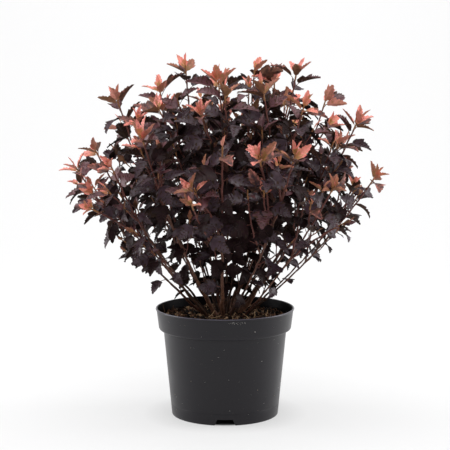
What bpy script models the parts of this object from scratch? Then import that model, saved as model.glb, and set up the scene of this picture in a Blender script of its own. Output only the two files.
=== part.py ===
"""Potted ninebark shrub.

A round nursery pot filled with potting mix carries a fan of woody canes. Each cane is bare at its foot
and runs up into a mass of leafy shoots that keeps to its own wedge of the crown.

Units are metres, +Z is up and +Y is behind the shrub. The origin is the centre of the pot's underside.
"""

import math
import random

import bmesh
import bpy
from mathutils import Quaternion, Vector
from mathutils.bvhtree import BVHTree

# Clearance between neighbouring solids
GAP = 0.0003

# Pot
POT_HEIGHT = 0.1788
RIM_RADIUS = 0.115
BASE_RADIUS = 0.0885
BODY_TOP_RADIUS = 0.1022
BAND_HEIGHT = 0.0357
BAND_FOOT_RADIUS = 0.1100
BAND_ROUNDING = 0.0038
ARC_MIDDLE = 1.0 - math.sqrt(0.5)
POT_WALL = 0.0017
LIP_HEIGHT = 0.0032
LIP_OVERHANG = 0.0014
LIP_UNDERSIDE_SHARE = 0.3
LIP_ROUNDING_SHARE = 0.25
LIP_TOP_INSET_SHARE = 0.4
FOOT_RING_WIDTH = 0.009
UNDERSIDE_RECESS = 0.0110
CENTRE_PAD_RADIUS = 0.022
POT_SIDES = 48
NOTCH_COUNT = 3
FIRST_NOTCH_BEARING = math.radians(270)
NOTCH_FOOT_WIDTH = 0.034
NOTCH_TOP_WIDTH = 0.025
NOTCH_HEIGHT = 0.0100
DRAIN_HOLES = 6
DRAIN_HOLE_RADIUS = 0.006
DRAIN_HOLE_SIDES = 10
DRAIN_CIRCLE_RADIUS = 0.052
CUTTER_OVERRUN = 0.006
PLASTIC_SHARP_ANGLE = math.radians(28)

# Potting mix
SOIL_TOP = 0.168
SOIL_EDGE_DROP = 0.0045
SOIL_FLAT_RADIUS = 0.060
SOIL_SHOULDER_SHARE = 0.4
SOIL_LUMP = 0.0012
SOIL_WALL_GAP = 0.0007
SOIL_SIDES = 32

# Crown: the tips of the canes lie on or close under an ellipsoid
CROWN_CENTRE = Vector((0.0, 0.0, 0.360))
CROWN_HALF_SIZE = Vector((0.268, 0.250, 0.225))
FAN_DEPTH = 0.042
FAN_POINT = Vector((0.0, 0.008, SOIL_TOP - FAN_DEPTH))
LARGEST_SHOOT_LEAN = math.radians(46)
LARGEST_LEAF_LEAN = math.radians(54)

# Canes, each given by its tips: bearing round the pot and lean from upright, in degrees, and reach as a
# share of the way to the crown's shell
CANES = (
    ((206, 9, 0.985),),
    ((38, 8, 0.98),),
    ((350, 15, 1.0),),
    ((151, 17, 0.96),),
    ((184, 24, 0.98),),
    ((162, 37, 0.95),),
    ((201, 41, 0.97),),
    ((224, 39, 0.96), (217, 48, 0.97)),
    ((234, 32, 0.96),),
    ((270, 19, 0.96), (264, 13, 0.96)),
    ((315, 24, 0.96), (306, 14, 0.93)),
    ((16, 24, 0.98),),
    ((353, 31, 0.98),),
    ((336, 43, 0.98),),
    ((311, 43, 0.96), (315, 50, 0.95)),
    ((297, 36, 0.96), (283, 36, 0.96)),
    ((269, 34, 0.96), (258, 42, 0.96)),
    ((50, 24, 0.97), (38, 14, 0.97)),
    ((90, 14, 0.97), (92, 25, 0.95)),
    ((125, 24, 0.95),),
    ((14, 44, 0.90),),
    ((31, 36, 0.96), (42, 42, 0.94)),
    ((72, 42, 0.95),),
    ((99, 38, 0.96),),
    ((127, 41, 0.95),),
    ((147, 45, 0.94),),
)
CANE_SIDES = 7
CANE_RINGS = 3
CANE_FOOT_RADIUS = 0.0034
CANE_FOOT_RADIUS_SPREAD = 0.0005
CANE_JOINT_RADIUS = 0.0025
FOOT_SHARE = 0.86
FLARE = 1.25
FLARE_LENGTH = 0.008
BARE_LENGTH = 0.078
BARE_LENGTH_SPREAD = 0.016
BARK_SHARP_ANGLE = math.radians(60)
BOW = 0.034
BOW_OF_UPRIGHT_CANE = 0.4
SWAY = 0.012

# Shoots
SHOOT_SIDES = 3
LEADER_RINGS = 5
SIDE_RINGS = 3
SHOOT_TIP_RADIUS = 0.0013
SIDE_SHOOT_RADIUS = 0.0018
SIDE_SHOOT_STARTS = (0.40, 0.56, 0.72)
SIDE_START_SPREAD = 0.04
SIDE_SHOOT_REACH = 0.94
LARGEST_SIDE_REACH = 0.96
SIDE_SHOOT_ANGLE = math.radians(34)
SIDE_SHOOT_LENGTHS = (0.78, 1.0)
SIDE_STRAIGHTENING = 0.7
SIDE_RISE = 0.25
SIDE_BEND_ROOM = 0.004
SIDE_TIP_ROOM = 0.010
SHORTEST_SIDE_SHOOT = 0.045
SIDE_ATTEMPTS = 24
SIDE_SHORTENING = 0.012
FORK_START = 0.42
FORK_BEND = 0.42

# Leaves
LEAF_LENGTH = 0.060
YOUNG_LEAF_LENGTH = 0.038
LEAF_THICKNESS = 0.035
LEAF_DROOP = 0.12
LEAF_RIDGE = 0.45
LOBED_HALF = ((0.16, 0.035, 0.0), (0.43, 0.41, 0.0), (0.67, 0.25, 0.05))
YOUNG_HALF = ((0.42, 0.26, 0.0),)
LEAF_SPACING = 0.0295
LEADER_LEAF_START = 0.01
SIDE_LEAF_START = 0.12
LEAF_TURN = math.radians(144)
LEAF_VIGOUR = (0.9, 1.08)
ROSETTE_LEAVES = 3
SIDE_ROSETTE_LEAVES = 1
ROSETTE_SPACING = 0.0045
ROSETTE_INSET = 0.002
ROSETTE_OPENING = math.radians(50)
ROSETTE_CLOSING = 0.3
LEAF_OPENING = math.radians(66)
LEAF_HANG = 0.5
LIGHT_FROM_ABOVE = 0.55
LIGHT_ASIDE = 0.25
ROOT_DEPTH = 0.0005
LOWEST_LEAF = POT_HEIGHT + 0.014
LOWEST_SHOOT_TIP = LOWEST_LEAF + 0.030
SPACE_MARGIN = 0.0004
LEAF_ATTEMPTS = 10
LEAF_RETRY_TURN = 0.5
LEAF_RETRY_CLOSING = 0.07
YOUNG_LEAF_RETRY_OPENING = 0.05
LEAF_RETRY_SHORTENING = 0.035
FLAT_ANGLE = math.radians(1.5)

SEED = 611
SEED_STEP = 17
UP = Vector((0.0, 0.0, 1.0))


def clear_scene():
    for old in list(bpy.data.objects):
        bpy.data.objects.remove(old, do_unlink=True)


def material(name, colour, roughness, metallic=0.0):
    made = bpy.data.materials.new(name)
    made.use_nodes = True
    made.diffuse_color = (*colour, 1.0)
    shader = made.node_tree.nodes["Principled BSDF"]
    shader.inputs["Base Color"].default_value = (*colour, 1.0)
    shader.inputs["Roughness"].default_value = roughness
    shader.inputs["Metallic"].default_value = metallic
    return made


def pot_material():
    return material("pot_charcoal_plastic", (0.022, 0.023, 0.025), 0.48)


def soil_material():
    return material("soil_potting_mix", (0.055, 0.032, 0.020), 0.95)


def cane_material(number):
    return material(f"cane_bark_{number:02d}", (0.105, 0.055, 0.036), 0.72)


def foliage_material(number):
    return material(f"foliage_leaves_{number:02d}", (0.050, 0.026, 0.034), 0.46)


def add_object(name, points, faces, finish):
    mesh = bpy.data.meshes.new(name)
    mesh.from_pydata([tuple(point) for point in points], [], faces)
    mesh.validate()
    mesh.update()
    made = bpy.data.objects.new(name, mesh)
    bpy.context.scene.collection.objects.link(made)
    if finish is not None:
        mesh.materials.append(finish)
    return made


def evaluated_copy(source):
    """The object's mesh with its modifiers applied."""
    graph = bpy.context.evaluated_depsgraph_get()
    return bpy.data.meshes.new_from_object(source.evaluated_get(graph))


def apply_modifiers(target):
    finished = evaluated_copy(target)
    target.modifiers.clear()
    target.data = finished


def clean_body(mesh):
    """Drop loose scraps and the skin of any sealed hollow, and points that lie on flat faces."""
    shell = bmesh.new()
    shell.from_mesh(mesh)
    unseen = set(shell.verts)
    bodies = []
    while unseen:
        front = [unseen.pop()]
        body = set(front)
        while front:
            vertex = front.pop()
            for edge in vertex.link_edges:
                other = edge.other_vert(vertex)
                if other in unseen:
                    unseen.remove(other)
                    body.add(other)
                    front.append(other)
        bodies.append(body)
    bodies.sort(key=len, reverse=True)
    scraps = [vertex for body in bodies[1:] for vertex in body]
    bmesh.ops.delete(shell, geom=scraps, context="VERTS")
    bmesh.ops.dissolve_limit(shell, angle_limit=FLAT_ANGLE, verts=shell.verts, edges=shell.edges)
    bmesh.ops.triangulate(shell, faces=shell.faces)
    shell.to_mesh(mesh)
    shell.free()


# Pot and potting mix

def outer_profile():
    """Radius and height up the outside of the pot, from its foot to the lip."""
    step = POT_HEIGHT - BAND_HEIGHT
    lip = POT_HEIGHT - LIP_HEIGHT
    return [
        (BASE_RADIUS, 0.0),
        (BODY_TOP_RADIUS, step),
        (BAND_FOOT_RADIUS - BAND_ROUNDING, step),
        (BAND_FOOT_RADIUS - ARC_MIDDLE * BAND_ROUNDING, step + ARC_MIDDLE * BAND_ROUNDING),
        (BAND_FOOT_RADIUS, step + BAND_ROUNDING),
        (RIM_RADIUS - LIP_OVERHANG, lip),
        (RIM_RADIUS, lip + LIP_UNDERSIDE_SHARE * LIP_HEIGHT),
        (RIM_RADIUS, POT_HEIGHT - LIP_ROUNDING_SHARE * LIP_HEIGHT),
        (RIM_RADIUS - LIP_TOP_INSET_SHARE * LIP_OVERHANG, POT_HEIGHT),
    ]


def inner_profile():
    """Radius and height down the inside of the pot, from the lip to its floor."""
    step = POT_HEIGHT - BAND_HEIGHT
    return [
        (RIM_RADIUS - LIP_OVERHANG - POT_WALL, POT_HEIGHT),
        (BAND_FOOT_RADIUS - POT_WALL, step + BAND_ROUNDING + POT_WALL),
        (BODY_TOP_RADIUS - POT_WALL, step + POT_WALL),
        (floor_radius(), floor_height()),
    ]


def floor_height():
    return UNDERSIDE_RECESS + POT_WALL


def floor_radius():
    slope = (BODY_TOP_RADIUS - BASE_RADIUS) / (POT_HEIGHT - BAND_HEIGHT)
    return BASE_RADIUS + slope * floor_height() - POT_WALL


def turned_solid(name, profile, sides, finish):
    """A closed turned solid: the profile's first and last points lie on the axis."""
    points = [Vector((0.0, 0.0, profile[0][1]))]
    for radius, height in profile[1:-1]:
        for k in range(sides):
            angle = 2.0 * math.pi * k / sides
            points.append(Vector((radius * math.cos(angle), radius * math.sin(angle), height)))
    points.append(Vector((0.0, 0.0, profile[-1][1])))
    rings = len(profile) - 2
    faces = []
    for k in range(sides):
        after = (k + 1) % sides
        faces.append((0, 1 + after, 1 + k))
        for ring in range(rings - 1):
            low = 1 + ring * sides
            high = low + sides
            faces.append((low + k, low + after, high + after, high + k))
        top = 1 + (rings - 1) * sides
        faces.append((top + k, top + after, len(points) - 1))
    return add_object(name, points, faces, finish)


def notch_cutter(bearing):
    """A wedge through the foot ring, wider at the floor."""
    inner = BASE_RADIUS - FOOT_RING_WIDTH - CUTTER_OVERRUN
    outer = BASE_RADIUS + CUTTER_OVERRUN
    widening = (NOTCH_FOOT_WIDTH - NOTCH_TOP_WIDTH) / NOTCH_HEIGHT
    half_low = 0.5 * (NOTCH_FOOT_WIDTH + widening * CUTTER_OVERRUN)
    half_high = 0.5 * NOTCH_TOP_WIDTH
    points = []
    for reach in (inner, outer):
        for half, height in ((half_low, -CUTTER_OVERRUN), (half_high, NOTCH_HEIGHT)):
            for side in (-1, 1):
                points.append(turned_about_axis(Vector((reach, side * half, height)), bearing))
    faces = [(0, 1, 5, 4), (2, 6, 7, 3), (0, 4, 6, 2), (1, 3, 7, 5), (0, 2, 3, 1), (4, 5, 7, 6)]
    return add_object("notch_cutter", points, faces, None)


def drain_cutter(bearing):
    low = UNDERSIDE_RECESS - CUTTER_OVERRUN
    high = floor_height() + CUTTER_OVERRUN
    profile = [(0.0, low), (DRAIN_HOLE_RADIUS, low), (DRAIN_HOLE_RADIUS, high), (0.0, high)]
    cutter = turned_solid("drain_cutter", profile, DRAIN_HOLE_SIDES, None)
    centre = turned_about_axis(Vector((DRAIN_CIRCLE_RADIUS, 0.0, 0.0)), bearing)
    for vertex in cutter.data.vertices:
        vertex.co += centre
    return cutter


def turned_about_axis(point, angle):
    return Quaternion(UP, angle) @ point


def cut(target, cutters):
    for cutter in cutters:
        cutter.hide_render = True
        cutter.display_type = "WIRE"
        tool = target.modifiers.new("cut", "BOOLEAN")
        tool.operation = "DIFFERENCE"
        tool.solver = "EXACT"
        tool.object = cutter
    apply_modifiers(target)
    for cutter in cutters:
        bpy.data.objects.remove(cutter, do_unlink=True)


def build_pot():
    ring_inner = BASE_RADIUS - FOOT_RING_WIDTH
    underside = [
        (0.0, 0.0),
        (CENTRE_PAD_RADIUS, 0.0),
        (CENTRE_PAD_RADIUS, UNDERSIDE_RECESS),
        (ring_inner, UNDERSIDE_RECESS),
        (ring_inner, 0.0),
    ]
    profile = underside + outer_profile() + inner_profile() + [(0.0, floor_height())]
    pot = turned_solid("pot", profile, POT_SIDES, pot_material())
    cutters = []
    for k in range(NOTCH_COUNT):
        cutters.append(notch_cutter(FIRST_NOTCH_BEARING + 2.0 * math.pi * k / NOTCH_COUNT))
    for k in range(DRAIN_HOLES):
        cutters.append(drain_cutter(2.0 * math.pi * (k + 0.5) / DRAIN_HOLES))
    cut(pot, cutters)
    pot.data.shade_smooth()
    pot.data.set_sharp_from_angle(angle=PLASTIC_SHARP_ANGLE)


def wall_radius(height):
    """Inner radius of the pot at a height."""
    profile = inner_profile()
    for (upper_radius, upper), (lower_radius, lower) in zip(profile, profile[1:]):
        if lower <= height <= upper:
            share = (height - lower) / (upper - lower)
            return lower_radius + share * (upper_radius - lower_radius)
    return profile[-1][0]


def build_soil():
    chance = random.Random(SEED)
    facet = math.cos(math.pi / POT_SIDES)
    edge = SOIL_TOP - SOIL_EDGE_DROP
    bottom = floor_height() + GAP
    step_low = POT_HEIGHT - BAND_HEIGHT + POT_WALL
    step_high = POT_HEIGHT - BAND_HEIGHT + BAND_ROUNDING + POT_WALL
    profile = [(0.0, bottom)]
    for height in (bottom, step_low, step_high, edge):
        profile.append(((wall_radius(height) - SOIL_WALL_GAP) * facet, height))
    middle = 0.5 * (SOIL_FLAT_RADIUS + profile[-1][0])
    profile.append((middle, SOIL_TOP - SOIL_SHOULDER_SHARE * SOIL_EDGE_DROP))
    profile.append((SOIL_FLAT_RADIUS, SOIL_TOP))
    profile.append((0.0, SOIL_TOP))
    soil = turned_solid("soil", profile, SOIL_SIDES, soil_material())
    for vertex in soil.data.vertices:
        radius = math.hypot(vertex.co.x, vertex.co.y)
        if vertex.co.z > edge - GAP and radius > SOIL_FLAT_RADIUS + GAP:
            vertex.co.z += chance.uniform(-SOIL_LUMP, SOIL_LUMP)


# Crown

def heading(bearing, lean):
    turn = math.radians(bearing)
    tilt = math.radians(lean)
    flat = math.sin(tilt)
    return Vector((flat * math.cos(turn), flat * math.sin(turn), math.cos(tilt)))


def lean_of(point):
    """Angle from upright of the way from the fan point to a point."""
    return (point - FAN_POINT).angle(UP)


CANE_HEADINGS = [
    sum((heading(bearing, lean) for bearing, lean, _ in tips), Vector()).normalized() for tips in CANES
]


def shell_distance(direction):
    """Distance from the fan point to the crown's shell in a direction."""
    start = FAN_POINT - CROWN_CENTRE
    a = sum((direction[k] / CROWN_HALF_SIZE[k]) ** 2 for k in range(3))
    b = sum(direction[k] * start[k] / CROWN_HALF_SIZE[k] ** 2 for k in range(3))
    c = sum((start[k] / CROWN_HALF_SIZE[k]) ** 2 for k in range(3)) - 1.0
    return (-b + math.sqrt(b * b - a * c)) / a


def tip_point(bearing, lean, reach):
    direction = heading(bearing, lean)
    return FAN_POINT + direction * (reach * shell_distance(direction))


def share_of_shell(point):
    offset = point - FAN_POINT
    return offset.length / shell_distance(offset.normalized())


def in_own_space(point, cane, clearance):
    """Whether a point keeps to the cane's wedge between the planes halfway to its neighbours."""
    offset = point - FAN_POINT
    own = CANE_HEADINGS[cane]
    for other, direction in enumerate(CANE_HEADINGS):
        if other == cane:
            continue
        across = own - direction
        if offset.dot(across) < clearance * across.length:
            return False
    return True


def aside_from(ahead, turn):
    """A direction square to another, turned about it."""
    return Quaternion(ahead, turn) @ ahead.orthogonal().normalized()


def curve_point(curve, t):
    start, bend, end = curve
    return start * (1 - t) ** 2 + bend * (2 * t * (1 - t)) + end * t ** 2


def curve_direction(curve, t):
    start, bend, end = curve
    return ((bend - start) * (1 - t) + (end - bend) * t).normalized()


def curve_length(curve, steps=24):
    marks = [curve_point(curve, k / steps) for k in range(steps + 1)]
    return sum((after - before).length for before, after in zip(marks, marks[1:]))


def cane_foot(cane):
    own = CANE_HEADINGS[cane]
    return FAN_POINT + own * ((FAN_DEPTH + GAP) / own.z)


def foot_room(cane):
    """Half the distance from a cane's foot to the nearest other foot."""
    foot = cane_foot(cane)
    others = [k for k in range(len(CANES)) if k != cane]
    return 0.5 * min((foot - cane_foot(k)).length for k in others)


def leader_curve(cane, chance):
    """The cane's path from its foot to its main tip, bowed outwards and swaying a little."""
    own = CANE_HEADINGS[cane]
    foot = cane_foot(cane)
    tip = tip_point(*CANES[cane][0])
    length = (tip - foot).length
    outward = (own * own.z - UP).normalized()
    across = own.cross(outward)
    bow = BOW * length * (BOW_OF_UPRIGHT_CANE + math.hypot(own.x, own.y))
    sway = SWAY * length * chance.uniform(-1, 1)
    bend = foot.lerp(tip, 0.5) + outward * (2.0 * bow) + across * (2.0 * sway)
    return foot, bend, tip


def fork_curve(leader, cane):
    """The path of a cane's second tip, leaving the leader tangentially."""
    tip = tip_point(*CANES[cane][1])
    start = curve_point(leader, FORK_START)
    bend = start + curve_direction(leader, FORK_START) * (FORK_BEND * (tip - start).length)
    return start, bend, tip


def side_curve(leader, start_share, cane, chance):
    """A side shoot that opens away from the leader and turns up again, or None with no room for it."""
    start = curve_point(leader, start_share)
    ahead = curve_direction(leader, start_share)
    first = chance.uniform(0.0, 2.0 * math.pi)
    offset = start - FAN_POINT
    room = SIDE_SHOOT_REACH * shell_distance(offset.normalized()) - offset.length
    for attempt in range(SIDE_ATTEMPTS):
        length = room * chance.uniform(*SIDE_SHOOT_LENGTHS) * (1.0 - SIDE_SHORTENING * attempt)
        if length < SHORTEST_SIDE_SHOOT:
            return None
        aside = aside_from(ahead, first + LEAF_TURN * attempt)
        opening = ahead * math.cos(SIDE_SHOOT_ANGLE) + aside * math.sin(SIDE_SHOOT_ANGLE)
        turned_up = (opening + ahead * SIDE_STRAIGHTENING + UP * SIDE_RISE).normalized()
        bend = start + opening * (0.5 * length)
        end = bend + turned_up * (0.5 * length)
        roomy = in_own_space(bend, cane, SIDE_BEND_ROOM) and in_own_space(end, cane, SIDE_TIP_ROOM)
        upright = lean_of(end) < LARGEST_SHOOT_LEAN and end.z > LOWEST_SHOOT_TIP
        if roomy and upright and share_of_shell(end) < LARGEST_SIDE_REACH:
            return start, bend, end
    return None


# Solids of canes, shoots and leaves

def ring_frame(ahead, reference):
    first = (reference - ahead * reference.dot(ahead)).normalized()
    return first, ahead.cross(first)


def tube(points, directions, radii, sides, foot_height=None):
    """A tapering tube with flat ends; its first ring can be cut level with the ground."""
    reference = directions[0].orthogonal().normalized()
    corners = []
    for centre, ahead, radius in zip(points, directions, radii):
        first, second = ring_frame(ahead, reference)
        reference = first
        for k in range(sides):
            angle = 2.0 * math.pi * k / sides
            corners.append(centre + (first * math.cos(angle) + second * math.sin(angle)) * radius)
    if foot_height is not None:
        ahead = directions[0]
        for k in range(sides):
            corners[k] = corners[k] - ahead * ((corners[k].z - foot_height) / ahead.z)
    faces = [tuple(reversed(range(sides)))]
    for ring in range(len(points) - 1):
        low = ring * sides
        high = low + sides
        for k in range(sides):
            after = (k + 1) % sides
            faces.append((low + k, low + after, high + after, high + k))
    last = (len(points) - 1) * sides
    faces.append(tuple(range(last, last + sides)))
    return corners, faces


def curve_tube(curve, start, end, start_radius, end_radius, rings, sides):
    marks = [start + (end - start) * k / rings for k in range(rings + 1)]
    points = [curve_point(curve, t) for t in marks]
    directions = [curve_direction(curve, t) for t in marks]
    radii = [start_radius + (end_radius - start_radius) * k / rings for k in range(rings + 1)]
    return tube(points, directions, radii, sides)


def leaf_solid(root, along, normal, length, lobed):
    """A thin blade like a low roof: it rises to a point on its midrib and bends down at its tip."""
    across = normal.cross(along)
    half = LOBED_HALF if lobed else YOUNG_HALF
    outline = [(-ROOT_DEPTH / length, 0.0, 0.0)]
    outline += [(out, -wide, -fall) for out, wide, fall in half]
    outline += [(1.0, 0.0, -LEAF_DROOP)]
    outline += [(out, wide, -fall) for out, wide, fall in reversed(half)]
    corners = [root + (along * x + across * y + normal * z) * length for x, y, z in outline]
    count = len(corners)
    corners.append(root + (along * LEAF_RIDGE + normal * LEAF_THICKNESS) * length)
    faces = [(count, k, (k + 1) % count) for k in range(count)]
    faces.append((0, count - 1, 1))
    for k in range(1, len(half)):
        faces.append((k, count - k, k + 1))
        faces.append((count - k, count - k - 1, k + 1))
    tip = len(half) + 1
    faces.append((tip - 1, tip + 1, tip))
    return corners, faces


class Parts:
    """Closed pieces gathered into one list of points and faces."""

    def __init__(self):
        self.points = []
        self.faces = []

    def add(self, solid):
        points, faces = solid
        first = len(self.points)
        self.points += points
        self.faces += [tuple(first + k for k in face) for face in faces]

    def touches(self, solid):
        if not self.faces:
            return False
        points, faces = solid
        mine = BVHTree.FromPolygons(self.points, self.faces)
        theirs = BVHTree.FromPolygons(points, faces)
        return bool(mine.overlap(theirs))


def leaf_marks(curve, start, young):
    """Places of leaves along a shoot, as shares of its curve, and whether each is at the tip."""
    length = curve_length(curve)
    rosette = ROSETTE_SPACING * (young - 1) / length
    marks = []
    place = start + 0.5 * LEAF_SPACING / length
    while place < 1.0 - rosette - 0.5 * LEAF_SPACING / length:
        marks.append((place, False))
        place += LEAF_SPACING / length
    for k in range(young):
        below_tip = ROSETTE_INSET + ROSETTE_SPACING * (young - 1 - k)
        marks.append((1.0 - below_tip / length, True))
    return marks


def young_leaf_pose(ahead, turn, opening):
    """Directions of a young leaf's midrib and upper side: it stands round the tip, facing inwards."""
    aside = aside_from(ahead, turn)
    along = ahead * math.cos(opening) + aside * math.sin(opening)
    normal = ahead * math.sin(opening) - aside * math.cos(opening)
    return along, normal


def leaf_pose(root, ahead, turn, opening):
    """Directions of a grown leaf's midrib and upper side: it hangs, with its face turned outwards."""
    aside = aside_from(ahead, turn)
    along = ahead * math.cos(opening) + aside * math.sin(opening)
    along = (along - UP * LEAF_HANG).normalized()
    outward = Vector((root.x, root.y, 0.0)).normalized()
    light = UP * LIGHT_FROM_ABOVE + outward + aside * LIGHT_ASIDE
    normal = (light - along * light.dot(along)).normalized()
    return along, normal


def allowed_leaf(solid, cane):
    for point in solid[0]:
        if point.z < LOWEST_LEAF or lean_of(point) > LARGEST_LEAF_LEAN:
            return False
        if not in_own_space(point, cane, SPACE_MARGIN):
            return False
    return True


def grow_leaves(curve, start, young, cane, chance, leaves, obstacles):
    """Set leaves along a shoot, each turned or shortened until it has room, or left out."""
    base_turn = chance.uniform(0.0, 2.0 * math.pi)
    for count, (place, at_tip) in enumerate(leaf_marks(curve, start, young)):
        root = curve_point(curve, place)
        ahead = curve_direction(curve, place)
        vigour = chance.uniform(*LEAF_VIGOUR)
        closing = 1.0 - ROSETTE_CLOSING * (count % ROSETTE_LEAVES)
        for attempt in range(LEAF_ATTEMPTS):
            turn = base_turn + LEAF_TURN * count + LEAF_RETRY_TURN * attempt * (-1) ** attempt
            if at_tip:
                length = YOUNG_LEAF_LENGTH * vigour
                opening = ROSETTE_OPENING * closing + YOUNG_LEAF_RETRY_OPENING * attempt
                along, normal = young_leaf_pose(ahead, turn, opening)
            else:
                length = LEAF_LENGTH * vigour * (1.0 - LEAF_RETRY_SHORTENING * attempt)
                opening = LEAF_OPENING - LEAF_RETRY_CLOSING * attempt
                along, normal = leaf_pose(root, ahead, turn, opening)
            solid = leaf_solid(root, along, normal, length, not at_tip)
            free = not leaves.touches(solid) and not obstacles.touches(solid)
            if free and allowed_leaf(solid, cane):
                leaves.add(solid)
                break


def flare_radius(distance, radius):
    return radius * (1.0 + (FLARE - 1.0) * max(0.0, 1.0 - distance / FLARE_LENGTH) ** 2)


def cane_solid(curve, joint, foot_radius):
    """The bare cane from its level foot to the joint where its foliage starts."""
    length = curve_length(curve)
    flare_end = FLARE_LENGTH / length
    step = (joint - flare_end) / CANE_RINGS
    marks = [0.0] + [flare_end + step * k for k in range(CANE_RINGS + 1)]
    points = [curve_point(curve, t) for t in marks]
    directions = [curve_direction(curve, t) for t in marks]
    radii = []
    for t in marks:
        plain = foot_radius + (CANE_JOINT_RADIUS - foot_radius) * t / joint
        radii.append(flare_radius(t * length, plain))
    return tube(points, directions, radii, CANE_SIDES, foot_height=SOIL_TOP + GAP)


def fuse(name, stem, parts, finish):
    """Join the stem, its side shoots and its leaves by one union."""
    made = add_object(name, stem[0], stem[1], finish)
    group = bpy.data.collections.new(f"{name}_pieces")
    bpy.context.scene.collection.children.link(group)
    for k, part in enumerate(parts):
        piece = add_object(f"{name}_piece_{k}", part.points, part.faces, finish)
        bpy.context.scene.collection.objects.unlink(piece)
        group.objects.link(piece)
    union = made.modifiers.new("union", "BOOLEAN")
    union.operation = "UNION"
    union.solver = "EXACT"
    union.operand_type = "COLLECTION"
    union.collection = group
    apply_modifiers(made)
    for piece in list(group.objects):
        bpy.data.objects.remove(piece, do_unlink=True)
    bpy.data.collections.remove(group)
    clean_body(made.data)
    return made


def build_cane(cane):
    """One bare cane and the mass of foliage that it carries."""
    chance = random.Random(SEED + SEED_STEP * cane)
    number = cane + 1
    leader = leader_curve(cane, chance)
    length = curve_length(leader)
    joint = (BARE_LENGTH + BARE_LENGTH_SPREAD * chance.uniform(-1, 1)) / length
    wished_radius = CANE_FOOT_RADIUS + CANE_FOOT_RADIUS_SPREAD * chance.uniform(-1, 1)
    foot_radius = min(wished_radius, (FOOT_SHARE * foot_room(cane)) / FLARE)
    bare = cane_solid(leader, joint, foot_radius)
    wood = add_object(f"cane_{number:02d}", bare[0], bare[1], cane_material(number))
    wood.data.shade_smooth()
    wood.data.set_sharp_from_angle(angle=BARK_SHARP_ANGLE)

    stem_start = joint + GAP / length
    stem = curve_tube(
        leader, stem_start, 1.0, CANE_JOINT_RADIUS, SHOOT_TIP_RADIUS, LEADER_RINGS, SHOOT_SIDES
    )
    side_curves = []
    if len(CANES[cane]) > 1:
        side_curves.append(fork_curve(leader, cane))
    for share in SIDE_SHOOT_STARTS:
        start_share = share + SIDE_START_SPREAD * chance.uniform(-1, 1)
        curve = side_curve(leader, start_share, cane, chance)
        if curve is not None:
            side_curves.append(curve)

    twigs = Parts()
    shoots = [(leader, stem_start + LEADER_LEAF_START, ROSETTE_LEAVES, None)]
    for curve in side_curves:
        solid = curve_tube(curve, 0.0, 1.0, SIDE_SHOOT_RADIUS, SHOOT_TIP_RADIUS, SIDE_RINGS, SHOOT_SIDES)
        if not twigs.touches(solid):
            twigs.add(solid)
            shoots.append((curve, SIDE_LEAF_START, SIDE_ROSETTE_LEAVES, solid))

    leaves = Parts()
    for curve, start, young, own_solid in shoots:
        obstacles = Parts()
        obstacles.add(bare)
        if own_solid is not None:
            obstacles.add(stem)
        for *_, solid in shoots[1:]:
            if solid is not own_solid:
                obstacles.add(solid)
        grow_leaves(curve, start, young, cane, chance, leaves, obstacles)
    fuse(f"foliage_{number:02d}", stem, [twigs, leaves], foliage_material(number))


def build():
    clear_scene()
    build_pot()
    build_soil()
    for cane in range(len(CANES)):
        build_cane(cane)


build()
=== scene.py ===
"""Potted ninebark shrub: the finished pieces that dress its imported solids.

A black nursery pot holds potting mix, and woody canes fan out of it into purple foliage with salmon
tips. Units are metres, +Z is up, and the camera looks along +Y.
"""

import math
import random

import bpy
import numpy as np
from bpy.props import FloatProperty, FloatVectorProperty, IntProperty, PointerProperty
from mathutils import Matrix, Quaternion, Vector, noise


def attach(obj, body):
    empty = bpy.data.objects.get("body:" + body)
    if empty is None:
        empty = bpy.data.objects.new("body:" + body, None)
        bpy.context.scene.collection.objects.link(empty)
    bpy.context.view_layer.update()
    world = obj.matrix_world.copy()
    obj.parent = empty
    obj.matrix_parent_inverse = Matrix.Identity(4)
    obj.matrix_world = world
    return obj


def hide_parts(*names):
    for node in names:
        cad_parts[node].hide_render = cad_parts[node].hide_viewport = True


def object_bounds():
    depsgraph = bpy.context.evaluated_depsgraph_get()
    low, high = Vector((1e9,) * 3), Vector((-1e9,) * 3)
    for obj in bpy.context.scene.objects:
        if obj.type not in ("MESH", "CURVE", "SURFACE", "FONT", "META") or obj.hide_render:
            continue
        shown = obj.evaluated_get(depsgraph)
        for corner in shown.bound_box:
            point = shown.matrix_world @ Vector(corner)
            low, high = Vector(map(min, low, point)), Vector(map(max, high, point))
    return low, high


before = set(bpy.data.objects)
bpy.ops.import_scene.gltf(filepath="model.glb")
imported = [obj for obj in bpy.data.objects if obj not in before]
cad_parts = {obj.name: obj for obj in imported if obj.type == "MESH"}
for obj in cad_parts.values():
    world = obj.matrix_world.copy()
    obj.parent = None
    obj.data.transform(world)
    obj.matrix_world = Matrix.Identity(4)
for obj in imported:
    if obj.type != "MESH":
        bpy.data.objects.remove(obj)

bl_info = {
    "name": "Potted Ninebark Shrub",
    "version": (1, 0, 0),
    "blender": (4, 5, 0),
    "location": "3D Viewport > Sidebar > Ninebark",
    "description": "Dresses the solids of a potted ninebark shrub with bark, shoots and leaves",
    "category": "Object",
}

SOLID_BOX = [Vector(corner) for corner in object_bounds()]
BODY = "root"
UP = Vector((0.0, 0.0, 1.0))
GAP = 0.0003

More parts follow.
